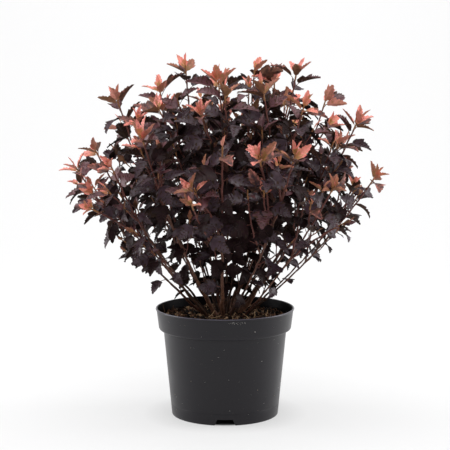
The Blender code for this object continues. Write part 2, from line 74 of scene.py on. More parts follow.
# Pot
POT_HEIGHT = 0.1788
RIM_RADIUS = 0.115
BASE_RADIUS = 0.0885
BODY_TOP_RADIUS = 0.1022
BAND_HEIGHT = 0.0357
BAND_FOOT_RADIUS = 0.1100
BAND_ROUNDING = 0.0038
POT_WALL = 0.0017
LIP_HEIGHT = 0.0032
LIP_OVERHANG = 0.0014
FOOT_RING_WIDTH = 0.009
UNDERSIDE_RECESS = 0.0110
CENTRE_PAD_RADIUS = 0.022
NOTCH_COUNT = 3
NOTCH_FOOT_WIDTH = 0.034
NOTCH_TOP_WIDTH = 0.025
NOTCH_HEIGHT = 0.0100
DRAIN_HOLES = 6
DRAIN_HOLE_RADIUS = 0.006
DRAIN_CIRCLE_RADIUS = 0.052
CREASE_HEIGHT = 0.0195
POT_FLOOR = UNDERSIDE_RECESS + POT_WALL

# Potting mix
SOIL_TOP = 0.168
SOIL_EDGE_DROP = 0.0045
SOIL_FLAT_RADIUS = 0.060

# Crown, fan and canes, as in the solids
CROWN_CENTRE = Vector((0.0, 0.0, 0.360))
CROWN_HALF_SIZE = Vector((0.268, 0.250, 0.225))
FAN_DEPTH = 0.042
FAN_POINT = Vector((0.0, 0.008, SOIL_TOP - FAN_DEPTH))
LARGEST_SHOOT_LEAN = math.radians(46)
LARGEST_LEAF_LEAN = math.radians(54)
CANES = (
    ((206, 9, 0.985),),
    ((38, 8, 0.98),),
    ((350, 15, 1.0),),
    ((151, 17, 0.96),),
    ((184, 24, 0.98),),
    ((162, 37, 0.95),),
    ((201, 41, 0.97),),
    ((224, 39, 0.96), (217, 48, 0.97)),
    ((234, 32, 0.96),),
    ((270, 19, 0.96), (264, 13, 0.96)),
    ((315, 24, 0.96), (306, 14, 0.93)),
    ((16, 24, 0.98),),
    ((353, 31, 0.98),),
    ((336, 43, 0.98),),
    ((311, 43, 0.96), (315, 50, 0.95)),
    ((297, 36, 0.96), (283, 36, 0.96)),
    ((269, 34, 0.96), (258, 42, 0.96)),
    ((50, 24, 0.97), (38, 14, 0.97)),
    ((90, 14, 0.97), (92, 25, 0.95)),
    ((125, 24, 0.95),),
    ((14, 44, 0.90),),
    ((31, 36, 0.96), (42, 42, 0.94)),
    ((72, 42, 0.95),),
    ((99, 38, 0.96),),
    ((127, 41, 0.95),),
    ((147, 45, 0.94),),
)
CANE_FOOT_RADIUS = 0.0034
CANE_FOOT_RADIUS_SPREAD = 0.0005
CANE_JOINT_RADIUS = 0.0025
FOOT_SHARE = 0.86
FLARE = 1.25
FLARE_LENGTH = 0.008
BARE_LENGTH = 0.078
BARE_LENGTH_SPREAD = 0.016
BOW = 0.034
BOW_OF_UPRIGHT_CANE = 0.4
SWAY = 0.012
SIDE_SHOOT_RADIUS = 0.0017
SIDE_SHOOT_STARTS = (0.40, 0.56, 0.72)
SIDE_START_SPREAD = 0.04
SIDE_SHOOT_REACH = 0.94
LARGEST_SIDE_REACH = 0.96
SIDE_SHOOT_ANGLE = math.radians(34)
SIDE_SHOOT_LENGTHS = (0.78, 1.0)
SIDE_STRAIGHTENING = 0.7
SIDE_RISE = 0.25
SIDE_BEND_ROOM = 0.004
SIDE_TIP_ROOM = 0.010
SHORTEST_SIDE_SHOOT = 0.045
SIDE_ATTEMPTS = 24
SIDE_SHORTENING = 0.012
FORK_START = 0.42
FORK_BEND = 0.42
LEAF_TURN = math.radians(144)
LOWEST_LEAF = POT_HEIGHT + 0.006
LOWEST_SHOOT_TIP = POT_HEIGHT + 0.044
SEED = 611
SEED_STEP = 17


class PotLooks(bpy.types.PropertyGroup):
    sides: IntProperty(name="Sides", description="Facets round the pot", default=144, min=24)
    colour: FloatVectorProperty(
        name="Plastic", description="Colour of the pot", subtype="COLOR", default=(0.0056, 0.0044, 0.0072)
    )
    specks: IntProperty(name="Specks", description="Grains of dust on the wall", default=110, min=0)
    smear: IntProperty(name="Smear", description="Pale grains rubbed on the band", default=60, min=0)


class SoilLooks(bpy.types.PropertyGroup):
    chips: IntProperty(name="Chips", description="Loose bits of bark and peat", default=2000, min=0)
    grit: IntProperty(name="Grit", description="Pale grains in the mix", default=170, min=0)
    straws: IntProperty(name="Straws", description="Dry stalks on the mix", default=70, min=0)
    colour: FloatVectorProperty(
        name="Mix", description="Colour of the mix", subtype="COLOR", default=(0.012, 0.0075, 0.0055)
    )


class ShrubLooks(bpy.types.PropertyGroup):
    leaf_length: FloatProperty(
        name="Leaf length", description="Blade of a grown leaf", default=0.0385, unit="LENGTH"
    )
    leaf_spacing: FloatProperty(
        name="Leaf spacing", description="Distance between leaves on a shoot", default=0.0156, unit="LENGTH"
    )
    young_leaf_length: FloatProperty(
        name="Young leaf length", description="Largest blade at a shoot's tip", default=0.0355, unit="LENGTH"
    )
    leaf_colour: FloatVectorProperty(
        name="Leaf", description="Upper side of grown leaves", subtype="COLOR", default=(0.0475, 0.0243, 0.0345)
    )
    tip_colour: FloatVectorProperty(
        name="Tip", description="Young leaves at the tips", subtype="COLOR", default=(0.72, 0.235, 0.200)
    )
    bark_colour: FloatVectorProperty(
        name="Bark", description="Bare canes", subtype="COLOR", default=(0.205, 0.091, 0.052)
    )
    shoot_colour: FloatVectorProperty(
        name="Shoot", description="Leafy shoots", subtype="COLOR", default=(0.150, 0.050, 0.040)
    )


class StageLooks(bpy.types.PropertyGroup):
    floor_colour: FloatVectorProperty(
        name="Floor", description="Pale studio floor", subtype="COLOR", default=(0.24, 0.24, 0.242)
    )
    # Painted light: the floor glows of itself, which lifts the shadows on it.
    floor_painted_glow: FloatProperty(
        name="Floor glow", description="Light that comes through the pale floor", default=0.64, min=0.0
    )


# Gathering many small parts into one piece

class Pattern:
    """Faces that many parts share: corner numbers, corners per face and a finish number per face."""

    def __init__(self, faces, finishes):
        self.corners = np.array([corner for face in faces for corner in face], np.int32)
        self.counts = np.array([len(face) for face in faces], np.int32)
        self.finishes = np.array(finishes, np.int32)


class Gathered:
    """Parts of one kind, gathered into a single mesh."""

    def __init__(self):
        self.points = []
        self.corners = []
        self.counts = []
        self.finishes = []
        self.total = 0

    def add(self, points, pattern, finish=0):
        points = np.asarray(points, np.float64).reshape(-1, 3)
        self.points.append(points)
        self.corners.append(pattern.corners + self.total)
        self.counts.append(pattern.counts)
        self.finishes.append(pattern.finishes + finish)
        self.total += len(points)

    def make(self, name, materials, sharp_angle=None):
        points = np.concatenate(self.points)
        corners = np.concatenate(self.corners)
        counts = np.concatenate(self.counts)
        mesh = bpy.data.meshes.new(name)
        mesh.vertices.add(len(points))
        mesh.vertices.foreach_set("co", points.ravel())
        mesh.loops.add(len(corners))
        mesh.loops.foreach_set("vertex_index", corners)
        mesh.polygons.add(len(counts))
        mesh.polygons.foreach_set("loop_start", np.cumsum(counts) - counts)
        mesh.polygons.foreach_set("loop_total", counts)
        mesh.polygons.foreach_set("material_index", np.concatenate(self.finishes))
        mesh.polygons.foreach_set("use_smooth", np.full(len(counts), sharp_angle is not None))
        mesh.update(calc_edges=True)
        mesh.validate()
        if sharp_angle is not None:
            mesh.set_sharp_from_angle(angle=sharp_angle)
        for finish in materials:
            mesh.materials.append(finish)
        made = bpy.data.objects.new(name, mesh)
        bpy.context.scene.collection.objects.link(made)
        return made


TUBE_PATTERNS = {}


def tube_pattern(rings, sides):
    if (rings, sides) not in TUBE_PATTERNS:
        faces = [tuple(reversed(range(sides)))]
        for ring in range(rings - 1):
            low = ring * sides
            for k in range(sides):
                after = (k + 1) % sides
                faces.append((low + k, low + after, low + sides + after, low + sides + k))
        last = (rings - 1) * sides
        faces.append(tuple(range(last, last + sides)))
        TUBE_PATTERNS[rings, sides] = Pattern(faces, [0] * len(faces))
    return TUBE_PATTERNS[rings, sides]


def tube_points(centres, radius_at, sides):
    """Corner points of a tube round a path; radius_at(ring, angle) gives each corner's radius."""
    centres = [Vector(centre) for centre in centres]
    last = len(centres) - 1
    reference = (centres[1] - centres[0]).orthogonal()
    corners = []
    for ring, centre in enumerate(centres):
        ahead = (centres[min(ring + 1, last)] - centres[max(ring - 1, 0)]).normalized()
        first = (reference - ahead * reference.dot(ahead)).normalized()
        second = ahead.cross(first)
        reference = first
        for k in range(sides):
            angle = 2.0 * math.pi * k / sides
            radius = radius_at(ring, angle)
            corners.append(centre + (first * math.cos(angle) + second * math.sin(angle)) * radius)
    return corners


# Growth, by the same rule as the solids

def heading(bearing, lean):
    turn = math.radians(bearing)
    tilt = math.radians(lean)
    flat = math.sin(tilt)
    return Vector((flat * math.cos(turn), flat * math.sin(turn), math.cos(tilt)))


def lean_of(point):
    """Angle from upright of the way from the fan point to a point."""
    return (point - FAN_POINT).angle(UP)


def sagged_lean(point):
    """How far a point leans out, counted less on the shrub's left, where its canes sag lower."""
    return lean_of(point) + LEFT_DROOP * point.x / (point - FAN_POINT).length


CANE_HEADINGS = [
    sum((heading(bearing, lean) for bearing, lean, _ in tips), Vector()).normalized() for tips in CANES
]


def shell_distance(direction):
    """Distance from the fan point to the crown's shell in a direction."""
    start = FAN_POINT - CROWN_CENTRE
    a = sum((direction[k] / CROWN_HALF_SIZE[k]) ** 2 for k in range(3))
    b = sum(direction[k] * start[k] / CROWN_HALF_SIZE[k] ** 2 for k in range(3))
    c = sum((start[k] / CROWN_HALF_SIZE[k]) ** 2 for k in range(3)) - 1.0
    return (-b + math.sqrt(b * b - a * c)) / a


def tip_point(bearing, lean, reach):
    direction = heading(bearing, lean)
    return FAN_POINT + direction * (reach * shell_distance(direction))


def share_of_shell(point):
    offset = point - FAN_POINT
    return offset.length / shell_distance(offset.normalized())


def in_own_space(point, cane, clearance):
    """Whether a point keeps to the cane's wedge between the planes halfway to its neighbours."""
    offset = point - FAN_POINT
    own = CANE_HEADINGS[cane]
    for other, direction in enumerate(CANE_HEADINGS):
        if other == cane:
            continue
        across = own - direction
        if offset.dot(across) < clearance * across.length:
            return False
    return True


def aside_from(ahead, turn):
    """A direction square to another, turned about it."""
    return Quaternion(ahead, turn) @ ahead.orthogonal().normalized()


def curve_point(curve, t):
    start, bend, end = curve
    return start * (1 - t) ** 2 + bend * (2 * t * (1 - t)) + end * t ** 2


def curve_direction(curve, t):
    start, bend, end = curve
    return ((bend - start) * (1 - t) + (end - bend) * t).normalized()


def curve_length(curve, steps=24):
    marks = [curve_point(curve, k / steps) for k in range(steps + 1)]
    return sum((after - before).length for before, after in zip(marks, marks[1:]))


def cane_foot(cane):
    own = CANE_HEADINGS[cane]
    return FAN_POINT + own * ((FAN_DEPTH + GAP) / own.z)


def foot_room(cane):
    """Half the distance from a cane's foot to the nearest other foot."""
    foot = cane_foot(cane)
    others = [k for k in range(len(CANES)) if k != cane]
    return 0.5 * min((foot - cane_foot(k)).length for k in others)


def leader_curve(cane, chance):
    """The cane's path from its foot to its main tip, bowed outwards and swaying a little."""
    own = CANE_HEADINGS[cane]
    foot = cane_foot(cane)
    tip = tip_point(*CANES[cane][0])
    length = (tip - foot).length
    outward = (own * own.z - UP).normalized()
    across = own.cross(outward)
    bow = BOW * length * (BOW_OF_UPRIGHT_CANE + math.hypot(own.x, own.y))
    sway = SWAY * length * chance.uniform(-1, 1)
    bend = foot.lerp(tip, 0.5) + outward * (2.0 * bow) + across * (2.0 * sway)
    return foot, bend, tip


def fork_curve(leader, cane):
    """The path of a cane's second tip, leaving the leader tangentially."""
    tip = tip_point(*CANES[cane][1])
    start = curve_point(leader, FORK_START)
    bend = start + curve_direction(leader, FORK_START) * (FORK_BEND * (tip - start).length)
    return start, bend, tip


def side_curve(leader, start_share, cane, chance):
    """A side shoot that opens away from the leader and turns up again, or None with no room for it."""
    start = curve_point(leader, start_share)
    ahead = curve_direction(leader, start_share)
    first = chance.uniform(0.0, 2.0 * math.pi)
    offset = start - FAN_POINT
    room = SIDE_SHOOT_REACH * shell_distance(offset.normalized()) - offset.length
    for attempt in range(SIDE_ATTEMPTS):
        length = room * chance.uniform(*SIDE_SHOOT_LENGTHS) * (1.0 - SIDE_SHORTENING * attempt)
        if length < SHORTEST_SIDE_SHOOT:
            return None
        aside = aside_from(ahead, first + LEAF_TURN * attempt)
        opening = ahead * math.cos(SIDE_SHOOT_ANGLE) + aside * math.sin(SIDE_SHOOT_ANGLE)
        turned_up = (opening + ahead * SIDE_STRAIGHTENING + UP * SIDE_RISE).normalized()
        bend = start + opening * (0.5 * length)
        end = bend + turned_up * (0.5 * length)
        roomy = in_own_space(bend, cane, SIDE_BEND_ROOM) and in_own_space(end, cane, SIDE_TIP_ROOM)
        upright = lean_of(end) < LARGEST_SHOOT_LEAN and end.z > LOWEST_SHOOT_TIP
        if roomy and upright and share_of_shell(end) < LARGEST_SIDE_REACH:
            return start, bend, end
    return None


# Finer twigs than the solids have, within the same crown
TWIG_FIRST_SHARE = 0.24
TWIG_LAST_SHARE = 0.74
TWIG_SPACING = 0.046
TWIG_SPACING_OF_LEANING = 0.100
TWIG_LEAN = math.radians(33)
TWIG_ANGLES = (math.radians(30), math.radians(48))
TWIG_LENGTHS = (0.040, 0.085)
TWIG_REACH = 0.88
TWIG_RADIUS = 0.0011
LEANING_CANE = math.radians(36)
LOW_TWIG_STARTS = (0.38, 0.47, 0.56, 0.66)
LOW_TWIG_ANGLES = (math.radians(20), math.radians(38))
LOW_TWIG_LENGTHS = (0.030, 0.055)
LARGEST_TWIG_LEAN = math.radians(50)
SPURS = 1
SPUR_STARTS = (0.010, 0.050)
SPUR_ANGLES = (math.radians(12), math.radians(34))
SPUR_LENGTHS = (0.045, 0.115)
SPUR_RADIUS = 0.0012
LARGEST_SPUR_LEAN = math.radians(38)
THICK_CANES = 0.36
THICK_GIRTHS = (0.92, 1.08)
THIN_GIRTHS = (0.52, 0.72)
SHOOT_WAVE = 0.0007
FRESH_TIP_RADIUS = {"leader": 0.0013, "side": 0.0011, "twig": 0.0008, "spur": 0.0007}
TIP_GROWTH = {"leader": 0.006, "side": 0.004, "twig": 0.0, "spur": 0.0}


class Shoot:
    """A leafy shoot: its path, where leaves start on it, its thickness and its rank."""

    def __init__(self, curve, start, thick, rank):
        self.curve = curve
        self.start = start
        self.thick = thick
        self.thin = FRESH_TIP_RADIUS[rank]
        self.rank = rank
        self.length = curve_length(curve)
        self.top = 1.0 + TIP_GROWTH[rank] / self.length


class Cane:
    """One cane of the shrub with the shoots that it carries."""

    def __init__(self, number):
        chance = random.Random(SEED + SEED_STEP * number)
        self.number = number
        self.leader = leader_curve(number, chance)
        self.length = curve_length(self.leader)
        self.joint = (BARE_LENGTH + BARE_LENGTH_SPREAD * chance.uniform(-1, 1)) / self.length
        wished = CANE_FOOT_RADIUS + CANE_FOOT_RADIUS_SPREAD * chance.uniform(-1, 1)
        dice = random.Random(f"girth {number}")
        self.thick = dice.random() < THICK_CANES and lean_of(curve_point(self.leader, 1.0)) < LEANING_CANE
        self.girth = dice.uniform(*(THICK_GIRTHS if self.thick else THIN_GIRTHS))
        self.foot_radius = self.girth * min(wished, FOOT_SHARE * foot_room(number) / FLARE)
        self.joint_radius = self.girth * CANE_JOINT_RADIUS
        self.shoots = [Shoot(self.leader, self.joint, self.joint_radius, "leader")]
        if len(CANES[number]) > 1:
            fork = fork_curve(self.leader, number)
            self.shoots.append(Shoot(fork, 0.0, SIDE_SHOOT_RADIUS, "leader"))
        for share in SIDE_SHOOT_STARTS:
            start_share = share + SIDE_START_SPREAD * chance.uniform(-1, 1)
            curve = side_curve(self.leader, start_share, number, chance)
            if curve is not None:
                self.shoots.append(Shoot(curve, 0.0, SIDE_SHOOT_RADIUS, "side"))
        for parent in list(self.shoots):
            self.shoots += self.twigs_of(parent)
        self.shoots += self.low_twigs()
        self.shoots += self.spurs()

    def twigs_of(self, parent):
        """Short twigs spiralling up a shoot."""
        chance = random.Random(f"twigs {self.number} {parent.length:.4f}")
        leaning = lean_of(curve_point(parent.curve, 1.0)) > TWIG_LEAN
        spacing = TWIG_SPACING_OF_LEANING if leaning else TWIG_SPACING
        count = int(parent.length * (TWIG_LAST_SHARE - TWIG_FIRST_SHARE) / spacing)
        twigs = []
        base_turn = chance.uniform(0.0, 2.0 * math.pi)
        for k in range(count):
            share = TWIG_FIRST_SHARE + (TWIG_LAST_SHARE - TWIG_FIRST_SHARE) * (k + chance.random()) / count
            start = curve_point(parent.curve, share)
            ahead = curve_direction(parent.curve, share)
            angle = chance.uniform(*TWIG_ANGLES)
            length = chance.uniform(*TWIG_LENGTHS)
            aside = aside_from(ahead, base_turn + LEAF_TURN * k + chance.uniform(-0.4, 0.4))
            opening = ahead * math.cos(angle) + aside * math.sin(angle)
            bend = start + opening * (0.5 * length)
            end = bend + (opening + ahead * 0.5 + UP * 0.3).normalized() * (0.5 * length)
            if share_of_shell(end) < TWIG_REACH and end.z > LOWEST_LEAF + 0.02 and sagged_lean(end) < LARGEST_TWIG_LEAN:
                twigs.append(Shoot((start, bend, end), 0.0, TWIG_RADIUS, "twig"))
        return twigs

    def low_twigs(self):
        """Short twigs along the lower side of a leaning cane."""
        chance = random.Random(f"low twigs {self.number}")
        if lean_of(curve_point(self.leader, 1.0)) < LEANING_CANE:
            return []
        twigs = []
        for share in LOW_TWIG_STARTS:
            start = curve_point(self.leader, share + chance.uniform(-0.05, 0.05))
            ahead = curve_direction(self.leader, share)
            sideways = ahead.cross(UP).normalized()
            aside = (sideways.cross(ahead) * -1.0 + sideways * chance.uniform(-0.9, 0.9)).normalized()
            angle = chance.uniform(*LOW_TWIG_ANGLES)
            length = chance.uniform(*LOW_TWIG_LENGTHS)
            opening = ahead * math.cos(angle) + aside * math.sin(angle)
            bend = start + opening * (0.5 * length)
            end = bend + (opening + ahead * 0.6 + UP * 0.2).normalized() * (0.5 * length)
            if sagged_lean(end) < LARGEST_TWIG_LEAN and share_of_shell(end) < TWIG_REACH:
                twigs.append(Shoot((start, bend, end), 0.0, SPUR_RADIUS, "twig"))
        return twigs

    def spurs(self):
        """Thin shoots from low on the cane that rise between it and its neighbours."""
        chance = random.Random(f"spurs {self.number}")
        spurs = []
        for k in range(SPURS):
            share = chance.uniform(*SPUR_STARTS) / self.length
            start = curve_point(self.leader, share)
            ahead = curve_direction(self.leader, share)
            angle = chance.uniform(*SPUR_ANGLES)
            length = chance.uniform(*SPUR_LENGTHS)
            aside = aside_from(ahead, chance.uniform(0.0, 2.0 * math.pi))
            opening = ahead * math.cos(angle) + aside * math.sin(angle)
            bend = start + opening * (0.5 * length)
            end = bend + (opening + UP * 0.5 + ahead * 0.5).normalized() * (0.5 * length)
            if lean_of(end) < LARGEST_SPUR_LEAN:
                spurs.append(Shoot((start, bend, end), 0.0, SPUR_RADIUS, "spur"))
        return spurs


def grown_canes():
    return [Cane(number) for number in range(len(CANES))]


# Leaf blades

def toothed_margin(stretches, depth):
    """Points up one half of a blade: each stretch is a curve whose teeth stand out and lean forward."""
    points = []
    for start, bend, end, teeth in stretches:
        curve = [Vector((*corner, 0.0)) for corner in (start, bend, end)]
        steps = max(1, 2 * teeth)
        for k in range(steps):
            place = curve_point(curve, k / steps)
            ahead = curve_direction(curve, k / steps)
            out = Vector((-ahead.y, ahead.x, 0.0))
            if k % 2:
                place = place + (out + ahead * TOOTH_LEAN) * depth
            elif k:
                place = place - out * (NOTCH_SHARE * depth)
            points.append(place)
    points.append(Vector((*stretches[-1][2], 0.0)))
    return points


TOOTH_LEAN = 0.8
NOTCH_SHARE = 0.3
INNER_LINE = 0.57
BASE_END = 0.36
RIB_DEPTH = 1.6
BASE, MIDDLE, MARGIN, UNDER = range(4)
TONES = 4


class Blade:
    """A closed thin leaf blade of unit length, with pleats along its side veins."""

    def __init__(self, stretches, depth, thickness, pleat, vein_sweep):
        margin = toothed_margin(stretches, depth)
        lines = len(margin)
        last = lines - 1
        ribs = sorted(max(0.0, point.x - vein_sweep * point.y) for point in margin)
        ribs[-1] = 1.0
        upper, lower = [], []
        for k, (rib, edge) in enumerate(zip(ribs, margin)):
            relief = 0.0 if k in (0, last) else (-pleat if k % 2 else pleat)
            inner = (rib + INNER_LINE * (edge.x - rib), INNER_LINE * edge.y, relief)
            outer = (edge.x, edge.y, 0.4 * relief)
            upper += [(rib, 0.0, 0.0), inner, outer, mirrored(inner), mirrored(outer)]
            under = (inner[0], inner[1], relief - thickness)
            lower += [(rib, 0.0, -RIB_DEPTH * thickness), under, mirrored(under)]
        self.points = np.array(upper + lower)
        below = len(upper)
        faces, finishes = [], []
        for k in range(last):
            a, b = 5 * k, 5 * (k + 1)
            c, d = below + 3 * k, below + 3 * (k + 1)
            inner_tone = BASE if margin[k].x < BASE_END else MIDDLE
            outer_tone = inner_tone if k % 4 < 2 and k < last - 3 else MARGIN
            faces += [(a, b, b + 1, a + 1), (a + 1, b + 1, b + 2, a + 2)]
            faces += [(b, a, a + 3, b + 3), (b + 3, a + 3, a + 4, b + 4)]
            finishes += [inner_tone, outer_tone] * 2
            faces += [(d, c, c + 1, d + 1), (d + 1, c + 1, a + 2, b + 2)]
            faces += [(c, d, d + 2, c + 2), (c + 2, d + 2, b + 4, a + 4)]
            finishes += [UNDER] * 4
        tip, base = 5 * last, below + 3 * last
        faces += [(0, 1, below + 1, below), (1, 2, below + 1), (3, 0, below, below + 2), (4, 3, below + 2)]
        faces += [(tip + 1, tip, base, base + 1), (tip + 2, tip + 1, base + 1)]
        faces += [(tip, tip + 3, base + 2, base), (tip + 3, tip + 4, base + 2)]
        self.pattern = Pattern(faces, finishes + [UNDER] * 8)

    def posed(self, root, along, normal, length, width, fold, arch, twist, wave):
        """World points of this blade, folded along its rib, arched, twisted and rippled."""
        x, y, z = self.points.T
        side = np.sign(y)
        y = np.abs(y) * width
        z = z + y * math.sin(fold) + wave[0] * np.sin(wave[1] + RIPPLES * x + side) * y
        y = y * math.cos(fold) * side
        turn = twist * x
        y, z = y * np.cos(turn) - z * np.sin(turn), y * np.sin(turn) + z * np.cos(turn)
        bent = arch * np.maximum(x, 0.0) ** 1.5
        reach = x * np.sin(bent) / np.maximum(bent, 1e-6)
        fall = x * (1.0 - np.cos(bent)) / np.maximum(bent, 1e-6)
        ahead = reach + z * np.sin(bent)
        above = z * np.cos(bent) - fall
        axes = np.array([along, normal.cross(along), normal])
        return np.array(root) + np.stack((ahead, y, above), 1) @ axes * length


RIPPLES = 9.0


def mirrored(point):
    return point[0], -point[1], point[2]


def lobed_stretches(lobe, sinus, shoulder, crest, teeth):
    """Half a blade's margin: up to the side lobe's point, back to the notch, on to the leaf's tip."""
    return (
        ((0.0, 0.014), shoulder, lobe, teeth[0]),
        (lobe, (0.5 * (lobe[0] + sinus[0]), sinus[1]), sinus, 0),
        (sinus, crest, (1.0, 0.004), teeth[1]),
    )


def blades():
    broad = lobed_stretches((0.46, 0.40), (0.50, 0.240), (-0.03, 0.34), (0.69, 0.265), (3, 4))
    narrow = lobed_stretches((0.46, 0.30), (0.50, 0.185), (0.03, 0.25), (0.70, 0.215), (3, 3))
    young = lobed_stretches((0.45, 0.290), (0.50, 0.185), (0.05, 0.23), (0.70, 0.225), (2, 3))
    bud = lobed_stretches((0.44, 0.180), (0.48, 0.135), (0.08, 0.13), (0.70, 0.150), (1, 1))
    return {
        "broad": Blade(broad, 0.028, 0.008, 0.023, 0.62),
        "narrow": Blade(narrow, 0.027, 0.008, 0.021, 0.62),
        "young": Blade(young, 0.028, 0.010, 0.016, 0.50),
        "bud": Blade(bud, 0.024, 0.012, 0.010, 0.50),
    }


LEAF_SEED = "hazel"
LEAF_STALK = 0.0135
LEAF_STALK_RADIUS = 0.00065
YOUNG_STALK_RADIUS = 0.0006
STALK_SIDES = 4
STALK_RINGS = 4
LEAF_TIP_ROOM = 0.006
HANGING_LEAF_LEAN = math.radians(55.0)
LEFT_DROOP = math.radians(4.5)
LIFTS = (1.0, 0.5, 0.0)
LEAF_FOLDS = (9, 28)
FLANK_LEAN = math.radians(52)
THIN_BELOW = 0.345
THIN_RANGE = 0.10
LOW_THINNING = 1.00
INNER_THINNING = 0.12
FLANK_THINNING = 0.80
THIN_FLANK_LEAN = math.radians(39)
SMALL_BELOW = 0.42
SMALL_RANGE = 0.12
LOW_LEAF_SIZE = 0.90
INNER_LEAF_SIZE = 0.90
SMALL_ROSETTE_BELOW = 0.44
SMALL_ROSETTE_RANGE = 0.06
LOW_ROSETTE_SIZE = 0.74
TIP_STRETCH = 0.085
TIP_CLEARANCE = 0.003
BLUSHING_STRETCH = 0.020
BRONZE_STRETCH = 0.042
BRIGHT_SHARE = 0.86
INNER_CROWN = 0.62
OUTER_CROWN = 0.76
FIRST_LEAF = {"leader": -0.030, "side": 0.012, "twig": 0.010, "spur": 0.022}
LEAF_SIZES = {"leader": 1.0, "side": 0.98, "twig": 0.88, "spur": 0.70}
SPACINGS = {"leader": 1.0, "side": 1.0, "twig": 0.95, "spur": 1.4}
CROWDED_TIP = 0.050
TIP_CROWDING = 0.80
ROSETTE_LEAVES = {"leader": 7, "side": 6, "twig": 4, "spur": 2}
ROSETTE_SCALES = {"leader": 1.0, "side": 0.88, "twig": 0.66, "spur": 0.5}
LOWEST_BRIGHT_TIP = 0.345
# The first grown-leaf finish is painted shade: the purple darkened, for leaves inside the crown.
SHADED, PURPLE, BRONZE, BLUSH = range(4)
SALMON, PINK, AMBER = range(3)
FULL_TURN = 2.0 * math.pi


def eased(value, start, reach):
    """How far a value has fallen below a start, as a share of a reach from 0 to 1."""
    return min(1.0, max(0.0, (start - value) / reach))


def stalk_path(root, stalk_direction, blade_direction, length):
    bend = root + stalk_direction * (0.55 * length)
    end = bend + (stalk_direction + blade_direction).normalized() * (0.45 * length)
    return [curve_point((root, bend, end), k / (STALK_RINGS - 1)) for k in range(STALK_RINGS)]


